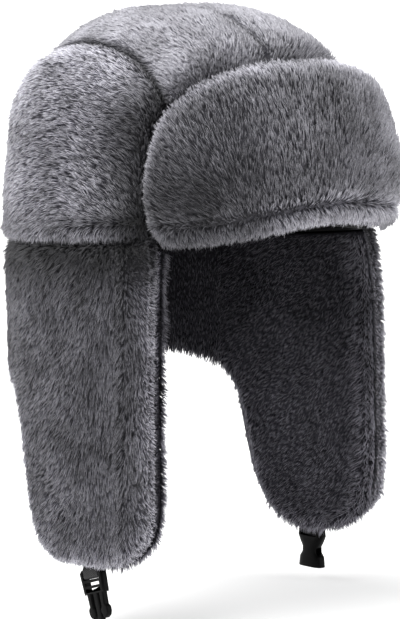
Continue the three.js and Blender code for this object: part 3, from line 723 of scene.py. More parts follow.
def crown_panel(name, ways, painted_shading, fur, seed):
    """One panel of the crown. Its outside lies on the fur's outer shell, crowned between the seams and
    pressed down under the peak, and its inside on the inner shell."""
    plain = dome_points(ways, CROWN_FUR[1])
    border = grid_border(plain)
    edge = nearest(plain, border)[1]
    outside = outside_peak(dome_points(ways, PEAK_BACK[0]))
    crowned = CROWN_CROWNED * smooth(edge, ROLL_CROWN, 4 * ROLL_CROWN)
    over_ear = np.abs(plain[..., 0]) > SIDE_SEAM[0]
    crowned = crowned + SHOULDER_FULL * over_ear * smooth(plain[..., 2] - RIM, 45, 75) * smooth(edge, 3, 20)
    full = lerp(LIP, CROWN_FUR[1] + crowned, smooth(outside, 0, LIP_END))
    tips = lerp(CROWN_PRESSED, full, smooth(outside, PRESS_START, PRESS_END))
    skin = np.maximum(tips - FUR_DEPTH, CROWN_FUR[0] + LEAST_PAD)
    out = CROWN_FUR[0] + (skin - CROWN_FUR[0]) * fullness(edge, ROLL_CROWN, left_at(plain, LEFT_CROWN))
    face = leaned(dome_points(ways, out))
    back = leaned(dome_points(ways, CROWN_FUR[0]))
    # Painted light: roots and skin on the top panels are painted paler than over the ears.
    soft, paler = (side_soft_shading, 0.15) if painted_shading is side_painted_shading else (top_soft_shading, 0.6)
    style = dict(fur, nap=crown_nap, where=outside_cover, painted_shading=painted_shading, soft=soft, skin=paler)
    return pile_piece(name, leaned(plain), face, back, leaned(border), style, seed)


def lining_piece(name, start, end):
    """A ring or a cap of the padded lining, between two shares of the way down from the top. The climb
    of a point's direction goes from upright to that of the lining's foot, by a power of the share."""
    margin = GAP / 2 / LINING_LENGTH
    share = np.linspace(start + margin if start else 0, end - margin if end < 1 else 1, LINING_ROWS)
    angle, part = np.meshgrid(np.linspace(-180, 180, LINING_COLUMNS + 1)[:-1], share)
    foot = unit(wall_points(angle, rim_height(angle) - LINING_DROP, 0) - np.array((0, 0, RIM)))
    climb = lerp(np.pi / 2, np.arcsin(foot[..., 2]), part**LINING_SPREAD)
    turn = np.radians(angle)
    ways = np.stack((np.cos(climb) * np.sin(turn), -np.cos(climb) * np.cos(turn), np.sin(climb)), -1)
    count = angle.size
    index = np.arange(count).reshape(angle.shape)
    after = np.roll(index, -1, axis=1)
    cap = start == 0
    first = 1 if cap else 0
    outer = halves(index[first:-1], index[first + 1 :], after[first + 1 :], after[first:-1])
    ends = [(index[-1], after[-1])]
    if cap:
        outer = np.vstack((outer, np.stack((np.zeros_like(index[0]), index[1], after[1]), 1)))
    else:
        ends.append((after[0], index[0]))
    walls = [halves(p, p + count, q + count, q) for p, q in ends]
    faces = np.vstack([outer, outer[:, ::-1] + count] + walls)
    points = np.vstack([leaned(dome_points(ways, out)).reshape(-1, 3) for out in CROWN_LINING[::-1]])
    used, faces = np.unique(faces, return_inverse=True)
    values = {key: np.full(len(used), value) for key, value in LINING_PILE.items()}
    return make_piece(name, points[used], faces.reshape(-1, 3), values)


# The peak


# Half-way round its corner the peak's side has a point at this share of the corner's reach.
CORNER_POINT = 0.7
# Pile on the peak fans out by an angle, and turns up by a share that grows with height.
PEAK_FAN, PEAK_UP, PEAK_UP_HEIGHT, EDGE_LEAN = 42.0, 0.75, 90.0, 0.4


def peak_places():
    """Angles and heights of the peak: a patch between an arch, a hem and two sides. The arch's rise is
    (1 - |t|^p)^(1 / p), and the hem rises by a squared cosine in the middle."""
    power = PEAK["corner"]
    corner = 0.5 ** (1 / power)
    waist, top = PEAK["waist"], PEAK["top"]

    def arch(u):
        along = 2 * u - 1
        rise = (1 - np.abs(along * corner) ** power) ** (1 / power)
        return np.stack((PEAK["half_span"] * along * corner, lerp(waist, top, rise)), -1)

    def hem(u):
        along = 2 * u - 1
        return np.stack((PEAK["foot"] * along, PEAK["hem"] + hem_rise(along)), -1)

    bend = (1 - (corner * CORNER_POINT) ** power) ** (1 / power)
    rows = (
        tuple(arch(np.array(1.0))),
        (PEAK["half_span"] * bend, waist + CORNER_POINT * corner * (top - waist)),
        (PEAK["half_span"], waist),
        (PEAK["half_span"] - 0.4, waist / 2),
        (PEAK["foot"], PEAK["hem"]),
    )
    surface = patch(arch, hem, table_curve(rows, -1), table_curve(rows, 1))
    place = surface(*np.meshgrid(lines(225, 50, ROLL_PEAK), lines(105, 20, ROLL_PEAK)))
    angle, height = place[..., 0], place[..., 1]
    grown = waist + (height - waist) * (peak_top(angle) - waist) / (top - waist)
    lifted = height + peak_end_lift(angle) * (1 - smooth(height, 0, waist))
    return np.stack((angle, np.where(height > waist, grown, lifted)), -1)


def hem_rise(along):
    """How far the peak's hem rises, from its ends at -1 and 1 to its middle at 0."""
    return PEAK["rise"] * np.cos(np.pi / 2 * along) ** 2


def peak_end_lift(angle):
    """The hem turns up at its end on the wearer's left."""
    return PEAK["end_lift"] * smooth(angle, 28, PEAK["foot"])


def above_hem(root):
    """Height above the peak's hem."""
    angle = angle_of(root)
    share = np.clip(angle / PEAK["foot"], -1, 1)
    return root[..., 2] - RIM - PEAK["hem"] - hem_rise(share) - peak_end_lift(angle)


def peak_nap(root, edge, outward):
    """Pile brushed up and outwards from the middle of the brow: sideways by angle / fan, and up by a
    share plus height / reach. Below a parting near the hem it hangs."""
    angle, height = angle_of(root), above_hem(root)
    turn = np.radians(angle)
    sideways = np.stack((np.cos(turn), np.sin(turn), np.zeros_like(turn)), 1)
    up = np.array((0, 0, 1.0))
    nap = sideways * (angle[:, None] / PEAK_FAN) + up * (PEAK_UP + (root[:, 2:] - RIM) / PEAK_UP_HEIGHT)
    hanging = 1 - smooth(height, 10, 12.5)[:, None]
    nap = lerp(unit(nap), -up, hanging)
    nap = nap + outward * EDGE_LEAN * (1 - smooth(edge, 2, 14))
    return nap * (1 - PARTED * beside(height, PEAK_PARTING, 5))[:, None]


def peak_cover(face):
    """Strands grow closer along the parting."""
    return 1 + 1.8 * beside(above_hem(face["points"]), PEAK_PARTING, 4)


def peak_painted_shading(root, edge):
    """Painted light and shade: pile on the peak is painted darker low on the wearer's right, and paler on the
    wearer's left, where the light falls, in the parting above the hem, along the hem and along the rolled
    edge."""
    shade, angle, height = PEAK_SHADE, angle_of(root), above_hem(root)
    left = smooth(angle, 8, 45)
    parting = 1 + shade["parting"] * beside(height, PEAK_PARTING + 0.5, 3)
    low_right = 1 + shade["low_right"] * smooth(-angle, 12, 42) * (1 - smooth(height, 25, 70))
    paler = 1 + (shade["left"] * smooth(height, 5, 17) + shade["low_left"]) * left
    hem = 1 + shade["hem"] * (1 - smooth(height, 8, 11)) * (1 - left)
    return parting * low_right * paler * hem * lerp(shade["edge"], shade["middle"], smooth(edge, 2, 14))


def peak_soft_shading(root):
    """Painted light: roots are painted paler, with less painted shade, on the wearer's left, where the light
    falls.
    """
    return lerp(0.35, 1.0, smooth(angle_of(root), 8, 40))


def peak_piece(name, layer, face_outside, style, seed):
    """One layer of the peak. On the wearer's left it stands further out, and is tucked in at its low
    corner. The fur's outside rolls over at the border, and the plush's inside does."""
    angle, height = np.moveaxis(peak_places(), -1, 0)
    stand = PEAK["stand"] * smooth(angle, 12, 42) * smooth(height, 12, 50)
    stand = stand - PEAK["tuck"] * smooth(angle, 26, 48) * (1 - smooth(height, 6, 32))
    plain = wall_points(angle, height, layer[1] + stand)
    border = grid_border(plain)
    edge = nearest(plain, border)[1]
    share = fullness(edge, ROLL_PEAK, LEFT_PEAK)
    if face_outside:
        outer, inner = layer[0] + (layer[1] + stand - FUR_DEPTH - layer[0]) * share, layer[0]
    else:
        outer, inner = layer[1], layer[1] - (layer[1] - layer[0]) * share
    face, back = leaned(wall_points(angle, height, outer)), leaned(wall_points(angle, height, inner))
    if not face_outside:
        face, back = back, face
    return pile_piece(name, leaned(plain), face, back, leaned(border), style, seed)


# The band over the ears and the neck


def band_places(drop, fuller=(0.0, 0.0)):
    """Angles and heights of three patches side by side: an ear flap, the nape, the other ear flap.
    fuller moves the low back corner of a flap."""
    meet, low = NAPE[0]
    upper = lines(-low, 16, ROLL_BAND)
    lower = lines(110, 20, ROLL_BAND, start=False)[1:]
    rows = np.concatenate((upper * ROW_SHARE, ROW_SHARE + lower * (1 - ROW_SHARE)))
    # As many rows as the inner side has, for the straight front edge: the two rolls have 4 more each.
    even = lines(200, len(rows) - 9, ROLL_BAND)
    first = FLAP_FRONT[0][0]

    def rim(angle):
        return np.stack((angle, rim_height(angle) - drop), -1)

    def moved(rows):
        rows = np.array(rows, float)
        near = smooth(rows[:, 0], 84, 104) * (1 - smooth(rows[:, 0], 114, 126))
        return rows + near[:, None] * np.array(fuller)

    def flap(side):
        corner = np.array((side * meet, low))
        back = table_curve(moved(FLAP_BACK), side)

        def inner(v):
            top = rim(np.full_like(v, side * meet))
            straight = lerp(top, corner, np.clip(v / ROW_SHARE, 0, 1)[..., None])
            curved = back((v - ROW_SHARE) / (1 - ROW_SHARE))
            return np.where((v <= ROW_SHARE)[..., None], straight, curved)

        front = ((first, float(rim(np.array(float(first)))[1])), (first, low)) + FLAP_FRONT
        surface = patch(
            lambda u: rim(side * lerp(float(first), float(meet), u)),
            table_curve(moved(FLAP_BOTTOM), side),
            table_curve(front, side),
            inner,
        )
        u, v = np.meshgrid(lines(112, 24, ROLL_BAND), rows)
        return surface(u, lerp(even[:, None], v, u))

    mirrored = tuple((360 - angle, height) for angle, height in NAPE[-2::-1])
    hem = table_curve(NAPE + mirrored)
    u, v = np.meshgrid(lines(212, 50, ROLL_BAND, start=False, end=False), upper)
    bottom = hem(u)
    nape = np.stack((bottom[..., 0], lerp(rim_height(bottom[..., 0]) - drop, bottom[..., 1], v)), -1)
    return {"right": flap(-1), "left": flap(1), "nape": nape}


def band_borders(places, out):
    """Marks along the band's free border, and along its brow, the seam at the rim."""
    free, brow = [], []
    for name, place in places.items():
        points = band_points(place[..., 0], place[..., 1], out)
        brow.append(dense(points[0]))
        free.append(dense(points[-1]))
        if name != "nape":
            free.append(dense(points[:, 0]))
            low = np.abs(np.abs(place[:, -1, 0]) - NAPE[0][0]) > 0.05
            free.append(dense(points[low, -1]))
    return np.vstack(free), np.vstack(brow)


# How far pile turns: out over an edge, towards or away from the seam at the rolled front edge, and up.
FLAP_NAP = {"fan": 0.9, "forwards": 0.85, "over_edge": 1.1, "at_seam": 0.3, "off_seam": -0.8, "stand": 0.55}
PLUSH_NAP = {"back": 0.9, "over_edge": 0.4, "at_seam": 1.0, "off_seam": -1.2, "stand": 0.5}
# The fan's middle and its width, as angles round the head.
FAN_MIDDLE, FAN_SPAN = 80.0, 45.0
# Where plush turns round the front edge its pile is longer, closer and more upright.
TURNED = {"length": 5.5, "lift": 0.5, "density": 1.8, "crowd": 0.6}


def sideways_of(angle):
    """Unit vectors level round the head, away from the forehead on both sides."""
    turn = np.radians(angle)
    return np.stack((np.cos(turn), np.sin(turn), np.zeros_like(turn)), 1) * np.sign(angle)[:, None]


def flap_nap(root, edge, outward):
    """Pile hangs and fans out. Beside the front edge a parting turns it forwards, and on the rolled
    edge there it stands back from the seam. Along the other borders it leans out over them."""
    way, angle = FLAP_NAP, angle_of(root)
    size, sideways = np.abs(angle), sideways_of(angle)
    fan = way["fan"] * np.clip((size - FAN_MIDDLE) / FAN_SPAN, -0.5, 0.5) * (size < NAPE[0][0])
    nap = np.array((0, 0, -1.0)) + sideways * fan[:, None]
    forwards = 1 - smooth(size, FRONT_PARTING - 4, FRONT_PARTING)
    nap = lerp(unit(nap), unit(np.array((0, 0, -0.55)) - sideways), (forwards * way["forwards"])[:, None])
    front = 1 - smooth(size, FRONT_PARTING, FRONT_PARTING + 4)[:, None]
    rolled = 1 - smooth(edge, 2, 5)
    rolled_way = lerp(way["at_seam"], way["off_seam"], smooth(edge, 0, 1.2)) * rolled
    nap = nap + outward * lerp(way["over_edge"] * (1 - smooth(edge, 1, 8)), rolled_way, front)
    nap = nap * (1 - way["stand"] * rolled * front)
    return nap * (1 - PARTED * beside(size, FRONT_PARTING, 1.8) * (edge[:, 0] > 5))[:, None]


def flap_painted_shading(root, edge):
    """Painted shade and light: pile is painted dark under the crown's hem, where the hem shades it, and in
    the parting beside the flap's front edge, and pale along the edges."""
    shade, sunk = FLAP_SHADE, -above_rim(root)
    parting = 1 + shade["parting"] * beside(np.abs(angle_of(root)), FRONT_PARTING, 2.2)
    down = lerp(shade["under_hem"], shade["middle"], smooth(sunk, 0, 42))
    down = down + shade["foot"] * smooth(sunk, 90, 160)
    return down * parting * lerp(shade["edge"], 1.0, smooth(edge, 2, 15))


def plush_nap(root, edge, outward):
    """Short pile lies down the flap and back from its front edge. It leans out over the other borders."""
    way, angle = PLUSH_NAP, angle_of(root)
    size = np.abs(angle)
    back = way["back"] * (size < NAPE[0][0])
    nap = np.array((0, 0, -1.0)) + sideways_of(angle) * back[:, None] * smooth(edge, 0, 7)
    front = 1 - smooth(size, FRONT_PARTING, FRONT_PARTING + 6)[:, None]
    rolled_way = lerp(way["at_seam"], way["off_seam"], smooth(edge, 1, 2.5)) * (1 - smooth(edge, 3, 14))
    nap = nap + outward * lerp(way["over_edge"] * (1 - smooth(edge, 1, 7)), rolled_way, front)
    return nap * (1 - way["stand"] * (1 - smooth(edge, 1.5, 5)) * front)


def plush_painted_shading(root, edge):
    """Painted light and shade: the lining is painted paler down the flaps and towards their edges, and darker
    in the shaded nape.
    """
    nape = smooth(np.abs(angle_of(root)), 100, 150)
    down = lerp(PLUSH_SHADE["high"], PLUSH_SHADE["low"], smooth(-above_rim(root), 30, 150))
    return down * lerp(1.0, PLUSH_SHADE["nape"], nape) * lerp(PLUSH_SHADE["edge"], 1.0, smooth(edge, 2, 16))


def turned_nap(root, edge, outward):
    """Where plush turns round the front edge, its pile lies forwards over the edge."""
    return outward * 0.6 + np.array((0, 0, -0.4))


def turned_cover(face):
    """Plush turns round the front edge for a few millimetres."""
    points = face["points"]
    front = (np.abs(angle_of(points)) < TURNED_END) * (points[..., 2] < RIM)
    return (1 - smooth(face["edge"], 6, 9)) * front + HARDLY


def turned_painted_shading(root, edge):
    """Painted light: plush turned round the front edge is painted paler than other plush, mostly on the
    wearer's right, where the light falls, and near the rim.
    """
    down = lerp(TURNED_SHADE["high"], TURNED_SHADE["low"], smooth(-above_rim(root), 20, 110))
    return down * np.where(root[:, 0] > 0, TURNED_SHADE["left"], 1.0)


def set_back(points, most):
    """Points turned round the head, away from the front edge: by most degrees at it, and less in
    proportion to the angle up to where nothing moves."""
    angle = angle_of(points)
    front = FLAP_FRONT[0][0]
    fade = 1 - np.clip((np.abs(angle) - front) / (SET_BACK_END - front), 0, 1)
    turned = np.radians(angle + np.sign(angle) * most * fade)
    reach = np.hypot(points[..., 0], points[..., 1])
    return np.stack((reach * np.sin(turned), -reach * np.cos(turned), points[..., 2]), -1)


def band_piece(name, place, layer, borders, style, seed, inside=False):
    """One patch of the band. Its free border rolls over fully, and its brow, under the crown's hem,
    is drawn in."""
    angle, height = place[..., 0], place[..., 1]
    plain = band_points(angle, height, layer[1])
    free, brow = (np.maximum(nearest(plain, marks)[1] - MARK_STEP / 2, 0) for marks in borders)
    share = fullness(free, ROLL_BAND, lerp(LEFT_BAND, LEFT_HANGING, smooth(np.abs(angle), 60, 76)))
    if inside:
        share = np.minimum(share, fullness(brow, ROLL_BAND, LEFT_LINING))
        out, flat = layer[1] - (layer[1] - layer[0] - PLUSH_DEPTH) * share, layer[1]
    else:
        share = np.minimum(share, fullness(brow, ROLL_BROW, LEFT_BROW))
        out, flat = layer[0] + (layer[1] - FUR_DEPTH - layer[0]) * share, layer[0]
    most = LINING_SET_BACK if inside else FUR_SET_BACK
    shells = (band_points(angle, height, out), band_points(angle, height, flat), plain, borders[0])
    face, back, plain, fringe = (leaned(set_back(points, most)) for points in shells)
    turned = None
    if inside and np.min(np.abs(angle)) < TURNED_END:
        ways = {"nap": turned_nap, "where": turned_cover, "painted_shading": turned_painted_shading, "shape": short_at_seams}
        turned = {**style, **ways, **TURNED}
    return pile_piece(name, plain, face, back, fringe, style, seed, turned)


# Webbing tabs

# A tape's stations, the points round each, and the powers of cosine and sine that square its section.
STATIONS, RING_DEGREES, SQUARE_WIDE, SQUARE_THIN = 60, 20, 0.25, 0.5
WEBBING_CLEAR = 0.02


def hanging_place(side, drop, tilt):
    """The middle of a bar's top, and the directions across, up and through the buckle half there."""
    level = FLAP_BOTTOM[3][1] - drop - BAR_CLEAR - WEBBING_THICKNESS
    at = wall_points(np.array(side * HANG["angle"]), np.array(level), HANG["out"])
    tilt = math.radians(tilt)
    across = np.array((0, math.cos(tilt), -math.sin(tilt)))
    up = np.array((0, math.sin(tilt), math.cos(tilt)))
    return at, across, up, np.array((1.0, 0, 0))


def webbing_points(side, drop, tilt):
    """A flat tape carried along a path: down one face of the bar, round under it and up the other
    face, then up into the flap. A section is across = cos^p, through = sin^q, with their signs kept."""
    at, across, up, through = hanging_place(side, drop, tilt)
    half = WEBBING_THICKNESS / 2
    out = BAR_THICKNESS / 2 + BAR_CLEAR + half
    top = BAR_CLEAR + half
    low = -BAR_HEIGHT - BAR_CLEAR - half - WEBBING_SAG
    # One side of the path: out of the flap, over the bar's shoulder, down beside it and round under it.
    down = [
        (half, top + HANG["stem"]), (half, top + 1.4), (half + 0.45, top + 0.5),
        (out - 0.4, top - 0.2), (out, top - 1.0),
        (out, low + WEBBING_BEND), (out - 0.25, low + 0.3), (out - WEBBING_BEND, low),
    ]
    path = np.array(down + [(-x, y) for x, y in down[::-1]])
    steps = np.concatenate(((0,), np.cumsum(np.linalg.norm(np.diff(path, axis=0), axis=1))))
    along = np.linspace(0, steps[-1], STATIONS)
    line = np.stack([np.interp(along, steps, path[:, k]) for k in (0, 1)], 1)
    way = unit(np.gradient(line, axis=0))
    aside = np.stack((way[:, 1], -way[:, 0]), 1)
    ring = np.radians(np.arange(0, 360, RING_DEGREES))
    wide = np.sign(np.cos(ring)) * np.abs(np.cos(ring)) ** SQUARE_WIDE * WEBBING_WIDTH / 2
    thin = np.sign(np.sin(ring)) * np.abs(np.sin(ring)) ** SQUARE_THIN * (half - WEBBING_CLEAR)
    spot = line[:, None] + aside[:, None] * thin[None, :, None]
    points = at + spot[..., :1] * through + spot[..., 1:] * up + wide[None, :, None] * across
    return points, along, wide


def tube_faces(rows, columns):
    """Triangles round a tube of stations, with a fan over each end."""
    index = np.arange(rows * columns).reshape(rows, columns)
    after = np.roll(index, -1, axis=1)
    round_it = halves(index[:-1], after[:-1], after[1:], index[1:])
    ends = (index[0], index[-1][::-1])
    fans = [np.stack((ring[2:], ring[1:-1], np.full(columns - 2, ring[0])), 1) for ring in ends]
    return np.vstack([round_it] + fans)


# Materials


def add_node(tree, kind, settings, links=None):
    """Adds a node, sets its properties and inputs, and links its inputs to other nodes' outputs."""
    node = tree.nodes.new(kind)
    for key, value in settings.items():
        if isinstance(key, int) or key in node.inputs:
            node.inputs[key].default_value = value
        else:
            setattr(node, key, value)
    for key, source in (links or {}).items():
        tree.links.new(source, node.inputs[key])
    return node


def new_material(name):
    """An empty material: itself, its node tree and its output node."""
    material = bpy.data.materials.new(name)
    material.use_nodes = True
    tree = material.node_tree
    tree.nodes.clear()
    output = add_node(tree, "ShaderNodeOutputMaterial", {})
    return material, tree, output


def pile_material(name, root, middle, tip, darker, gloss, sheen):
    """Pile fabric: fibres are painted dark at the root, as painted shade where little light reaches, and pale
    at the tip. The colour's value is multiplied by shade * painted_shading, where shade grows with tone +
    patches + flecks."""
    known = bpy.data.materials.get(name)
    if known:
        return known
    material, tree, output = new_material(name)
    along = add_node(tree, "ShaderNodeAttribute", {"attribute_name": "along"})
    tone = add_node(tree, "ShaderNodeAttribute", {"attribute_name": "tone"})
    ramp = add_node(tree, "ShaderNodeValToRGB", {}, {"Fac": along.outputs["Fac"]})
    ramp.color_ramp.elements[0].color = (*root, 1)
    ramp.color_ramp.elements[1].color = (*tip, 1)
    ramp.color_ramp.elements.new(RIDGE).color = (*middle, 1)
    place = add_node(tree, "ShaderNodeTexCoord", {})
    # Patches of pile about 25 mm across lie a little differently and look paler or darker.
    patches = add_node(
        tree, "ShaderNodeTexNoise", {"Scale": 1 / (25 * MM), "Detail": 2.0},
        {"Vector": place.outputs["Object"]},
    )
    # Single fibres are far finer than a strand: flecks about 1 mm across stand for them.
    flecks = add_node(
        tree, "ShaderNodeTexNoise", {"Scale": 1 / (1.2 * MM), "Detail": 1.0},
        {"Vector": place.outputs["Object"]},
    )
    mixed = add_node(
        tree, "ShaderNodeMath", {"operation": "ADD"},
        {0: tone.outputs["Fac"], 1: patches.outputs["Fac"]},
    )
    mixed = add_node(
        tree, "ShaderNodeMath", {"operation": "ADD"},
        {0: mixed.outputs["Value"], 1: flecks.outputs["Fac"]},
    )
    shade = add_node(
        tree, "ShaderNodeMapRange",
        {"From Min": 1.0, "From Max": 2.0, "To Min": darker, "To Max": 2.0 - darker},
        {"Value": mixed.outputs["Value"]},
    )
    painted_shading = add_node(tree, "ShaderNodeAttribute", {"attribute_name": "painted_shading"})
    value = add_node(
        tree, "ShaderNodeMath", {"operation": "MULTIPLY"},
        {0: shade.outputs["Result"], 1: painted_shading.outputs["Fac"]},
    )
    colour = add_node(
        tree, "ShaderNodeHueSaturation", {}, {"Color": ramp.outputs["Color"], "Value": value.outputs["Value"]}
    )
    shader = add_node(
        tree, "ShaderNodeBsdfPrincipled",
        {
            "Roughness": 0.5, "IOR": 1.5, "Specular IOR Level": gloss,
            "Sheen Weight": sheen, "Sheen Roughness": 0.4,
        },
        {"Base Color": colour.outputs["Color"]},
    )
    tree.links.new(shader.outputs["BSDF"], output.inputs["Surface"])
    return material


def rounded_copy(node, name):
    """A copy of a CAD node with its doubles merged, its flat faces joined and its edges rounded over."""
    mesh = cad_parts[node].data.copy()
    mesh.name = name
    work = bmesh.new()
    work.from_mesh(mesh)
    bmesh.ops.remove_doubles(work, verts=work.verts, dist=BEVEL["doubles"] * MM)
    flat = math.radians(BEVEL["flat"])
    bmesh.ops.dissolve_limit(work, angle_limit=flat, verts=work.verts, edges=work.edges)
    work.to_mesh(mesh)
    work.free()
    piece = bpy.data.objects.new(name, mesh)
    bpy.context.scene.collection.objects.link(piece)
    bevel = piece.modifiers.new("rounded edges", "BEVEL")
    bevel.width = BEVEL["width"] * MM
    bevel.segments = 3
    bevel.limit_method = "ANGLE"
    bevel.angle_limit = math.radians(BEVEL["sharp"])
    mesh.shade_smooth()
    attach(piece, "root")
    return piece


def finish(piece, material):
    """Gives a piece its one material."""
    piece.data.materials.clear()
    piece.data.materials.append(material)


def grey_fur_material(settings):
    # Acrylic faux fur, knitted and brushed. Grey fibres with pale tips; their dark roots are partly painted
    # shade for the pile's shaded depths.
    colours = settings.fur_root, settings.fur_middle, settings.fur_tip
    return pile_material("grey_acrylic_faux_fur", *colours, darker=0.25, gloss=0.25, sheen=0.06)


def plush_material(settings):
    # Short polyester plush, cut pile, with a dull velvety edge. Its nearly black colour is partly painted
    # shade for the hat's shaded inside.
    colours = settings.plush_root, settings.plush_middle, settings.plush_tip
    return pile_material("dark_plush_and_painted_shade", *colours, darker=0.5, gloss=0.02, sheen=0.02)


class UshankaPileSettings(bpy.types.PropertyGroup):
    fur_length: bpy.props.FloatProperty(
        name="Fur length", description="Length of the outer pile", default=FUR["length"] * MM, min=0.0,
        unit="LENGTH",
    )
    plush_length: bpy.props.FloatProperty(
        name="Plush length", description="Length of the lining's pile", default=PLUSH["length"] * MM, min=0.0,
        unit="LENGTH",
    )
    fur_density: bpy.props.FloatProperty(
        name="Fur density", description="Strands on a square millimetre of outer pile",
        default=FUR["density"], min=0.0,
    )
    plush_density: bpy.props.FloatProperty(
        name="Plush density", description="Strands on a square millimetre of lining",
        default=PLUSH["density"], min=0.0,
    )
    fur_root: bpy.props.FloatVectorProperty(
        name="Fur root", description="Colour of the outer pile at its root", subtype="COLOR",
        default=srgb("#111014"),
    )
    fur_middle: bpy.props.FloatVectorProperty(
        name="Fur middle", description="Colour half-way up the outer pile", subtype="COLOR",
        default=srgb("#4d4c54"),
    )
    fur_tip: bpy.props.FloatVectorProperty(
        name="Fur tip", description="Colour of the outer pile at its tip", subtype="COLOR",
        default=srgb("#b2b1b8"),
    )
    plush_root: bpy.props.FloatVectorProperty(
        name="Plush root", description="Colour of the lining at its root", subtype="COLOR",
        default=srgb("#0d0d0e"),
    )
    plush_middle: bpy.props.FloatVectorProperty(
        name="Plush middle", description="Colour half-way up the lining's pile", subtype="COLOR",
        default=srgb("#28272c"),
    )
    plush_tip: bpy.props.FloatVectorProperty(
        name="Plush tip", description="Colour of the lining at its tip", subtype="COLOR",
        default=srgb("#6a696f"),
    )


class UshankaFittingSettings(bpy.types.PropertyGroup):
    webbing_colour: bpy.props.FloatVectorProperty(
        name="Webbing", description="Colour of the webbing tabs", subtype="COLOR", default=srgb("#161617")
    )
    plastic_colour: bpy.props.FloatVectorProperty(
        name="Buckle", description="Colour of the buckle", subtype="COLOR", default=srgb("#090909")
    )


class UshankaStageSettings(bpy.types.PropertyGroup):
    azimuth: bpy.props.FloatProperty(
        name="Azimuth", description="Turn of the camera round the hat", default=math.radians(-43),
        unit="ROTATION",
    )
    elevation: bpy.props.FloatProperty(
        name="Elevation", description="Height of the camera's view", default=math.radians(6.8),
        unit="ROTATION",
    )
    distance: bpy.props.FloatProperty(
        name="Distance", description="From the camera to the hat", default=1.8, min=0.3, unit="LENGTH"
    )
    floor_colour: bpy.props.FloatVectorProperty(
        name="Floor", description="Colour of the floor and backdrop", subtype="COLOR", default=srgb("#ececec")
    )
    floor_glow: bpy.props.FloatProperty(
        name="Floor glow", description="Light that comes up through the floor", default=0.5, min=0.0
    )
    overhead_power: bpy.props.FloatProperty(
        name="Overhead light", description="Strength of the large soft light overhead", default=5.0, min=0.0
    )
    side_power: bpy.props.FloatProperty(
        name="Side light", description="Strength of the soft light on the wearer's left", default=1.6, min=0.0
    )
    sky: bpy.props.FloatProperty(
        name="Surroundings", description="Brightness of the white surroundings", default=0.2, min=0.0
    )


class USHANKA_OT_crown(bpy.types.Operator):
    """Four fur panels of the crown and the padded lining under them"""

    bl_idname = "ushanka.crown"
    bl_label = "Crown"

    def execute(self, context):
        settings = context.scene.ushanka_pile
        fur, plush = grey_fur_material(settings), plush_material(settings)
        panels = (
            ("crown_side_panel_right", side_panel_ways(-1)),
            ("crown_side_panel_left", side_panel_ways(1)),
            ("crown_top_panel_right", top_panel_ways(-1)),
            ("crown_top_panel_left", top_panel_ways(1)),
        )
        for seed, (node, ways) in enumerate(panels):
            painted_shading = side_painted_shading if "side" in node else top_painted_shading
            piece = crown_panel(node.replace("panel", "fur"), ways, painted_shading, fur_style(settings), seed)
            finish(piece, fur)
            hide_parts(node)
        for node, start, end in (("crown_lining_top", 0, LINING_SEAM), ("crown_lining_side", LINING_SEAM, 1)):
            piece = lining_piece(node.replace("lining", "plush"), start, end)
            finish(piece, plush)
            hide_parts(node)
        return {"FINISHED"}


class USHANKA_OT_peak(bpy.types.Operator):
    """The turned-up peak: its fur face and its plush back"""

    bl_idname = "ushanka.peak"
    bl_label = "Peak"

    def execute(self, context):
        settings = context.scene.ushanka_pile
        style = dict(
            fur_style(settings), nap=peak_nap, painted_shading=peak_painted_shading, where=peak_cover, crowd=0.5,
            soft=peak_soft_shading, skin=0.25,
        )
        face = peak_piece("peak_fur", PEAK_FACE, True, style, 11)
        finish(face, grey_fur_material(settings))
        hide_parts("peak_face")
        hidden = dict(PLUSH, nap=plush_nap, density=0, painted_shading=dim_painted_shading)
        back = peak_piece("peak_plush", PEAK_BACK, False, hidden, 12)
        finish(back, plush_material(settings))
        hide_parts("peak_back")
        return {"FINISHED"}


class USHANKA_OT_ear_band(bpy.types.Operator):
    """The band over the ears and the neck: its outer fur and its plush lining"""

    bl_idname = "ushanka.ear_band"
    bl_label = "Ear band"

    def execute(self, context):
        settings = context.scene.ushanka_pile
        fur, plush = grey_fur_material(settings), plush_material(settings)
        places = band_places(RIM_GAP, FULLER_CORNER)
        borders = band_borders(places, BAND_FUR[1])
        style = dict(
            fur_style(settings), nap=flap_nap, painted_shading=flap_painted_shading, crowd=1.5, broad=0.6, stray=0.3, skin=0.2
        )
        for seed, (name, place) in enumerate(places.items(), 21):
            piece = band_piece(f"ear_band_fur_{name}", place, BAND_FUR, borders, style, seed)
            finish(piece, fur)
            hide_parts("ear_band_fur")
        places = band_places(RIM_GAP + LINING_DROP)
        borders = band_borders(places, BAND_LINING[1])
        style = dict(plush_style(settings), nap=plush_nap, painted_shading=plush_painted_shading)
        for seed, (name, place) in enumerate(places.items(), 31):
            piece = band_piece(
                f"ear_band_plush_{name}", place, BAND_LINING, borders, style, seed, inside=True
            )
            finish(piece, plush)
            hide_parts("ear_band_lining")
        return {"FINISHED"}


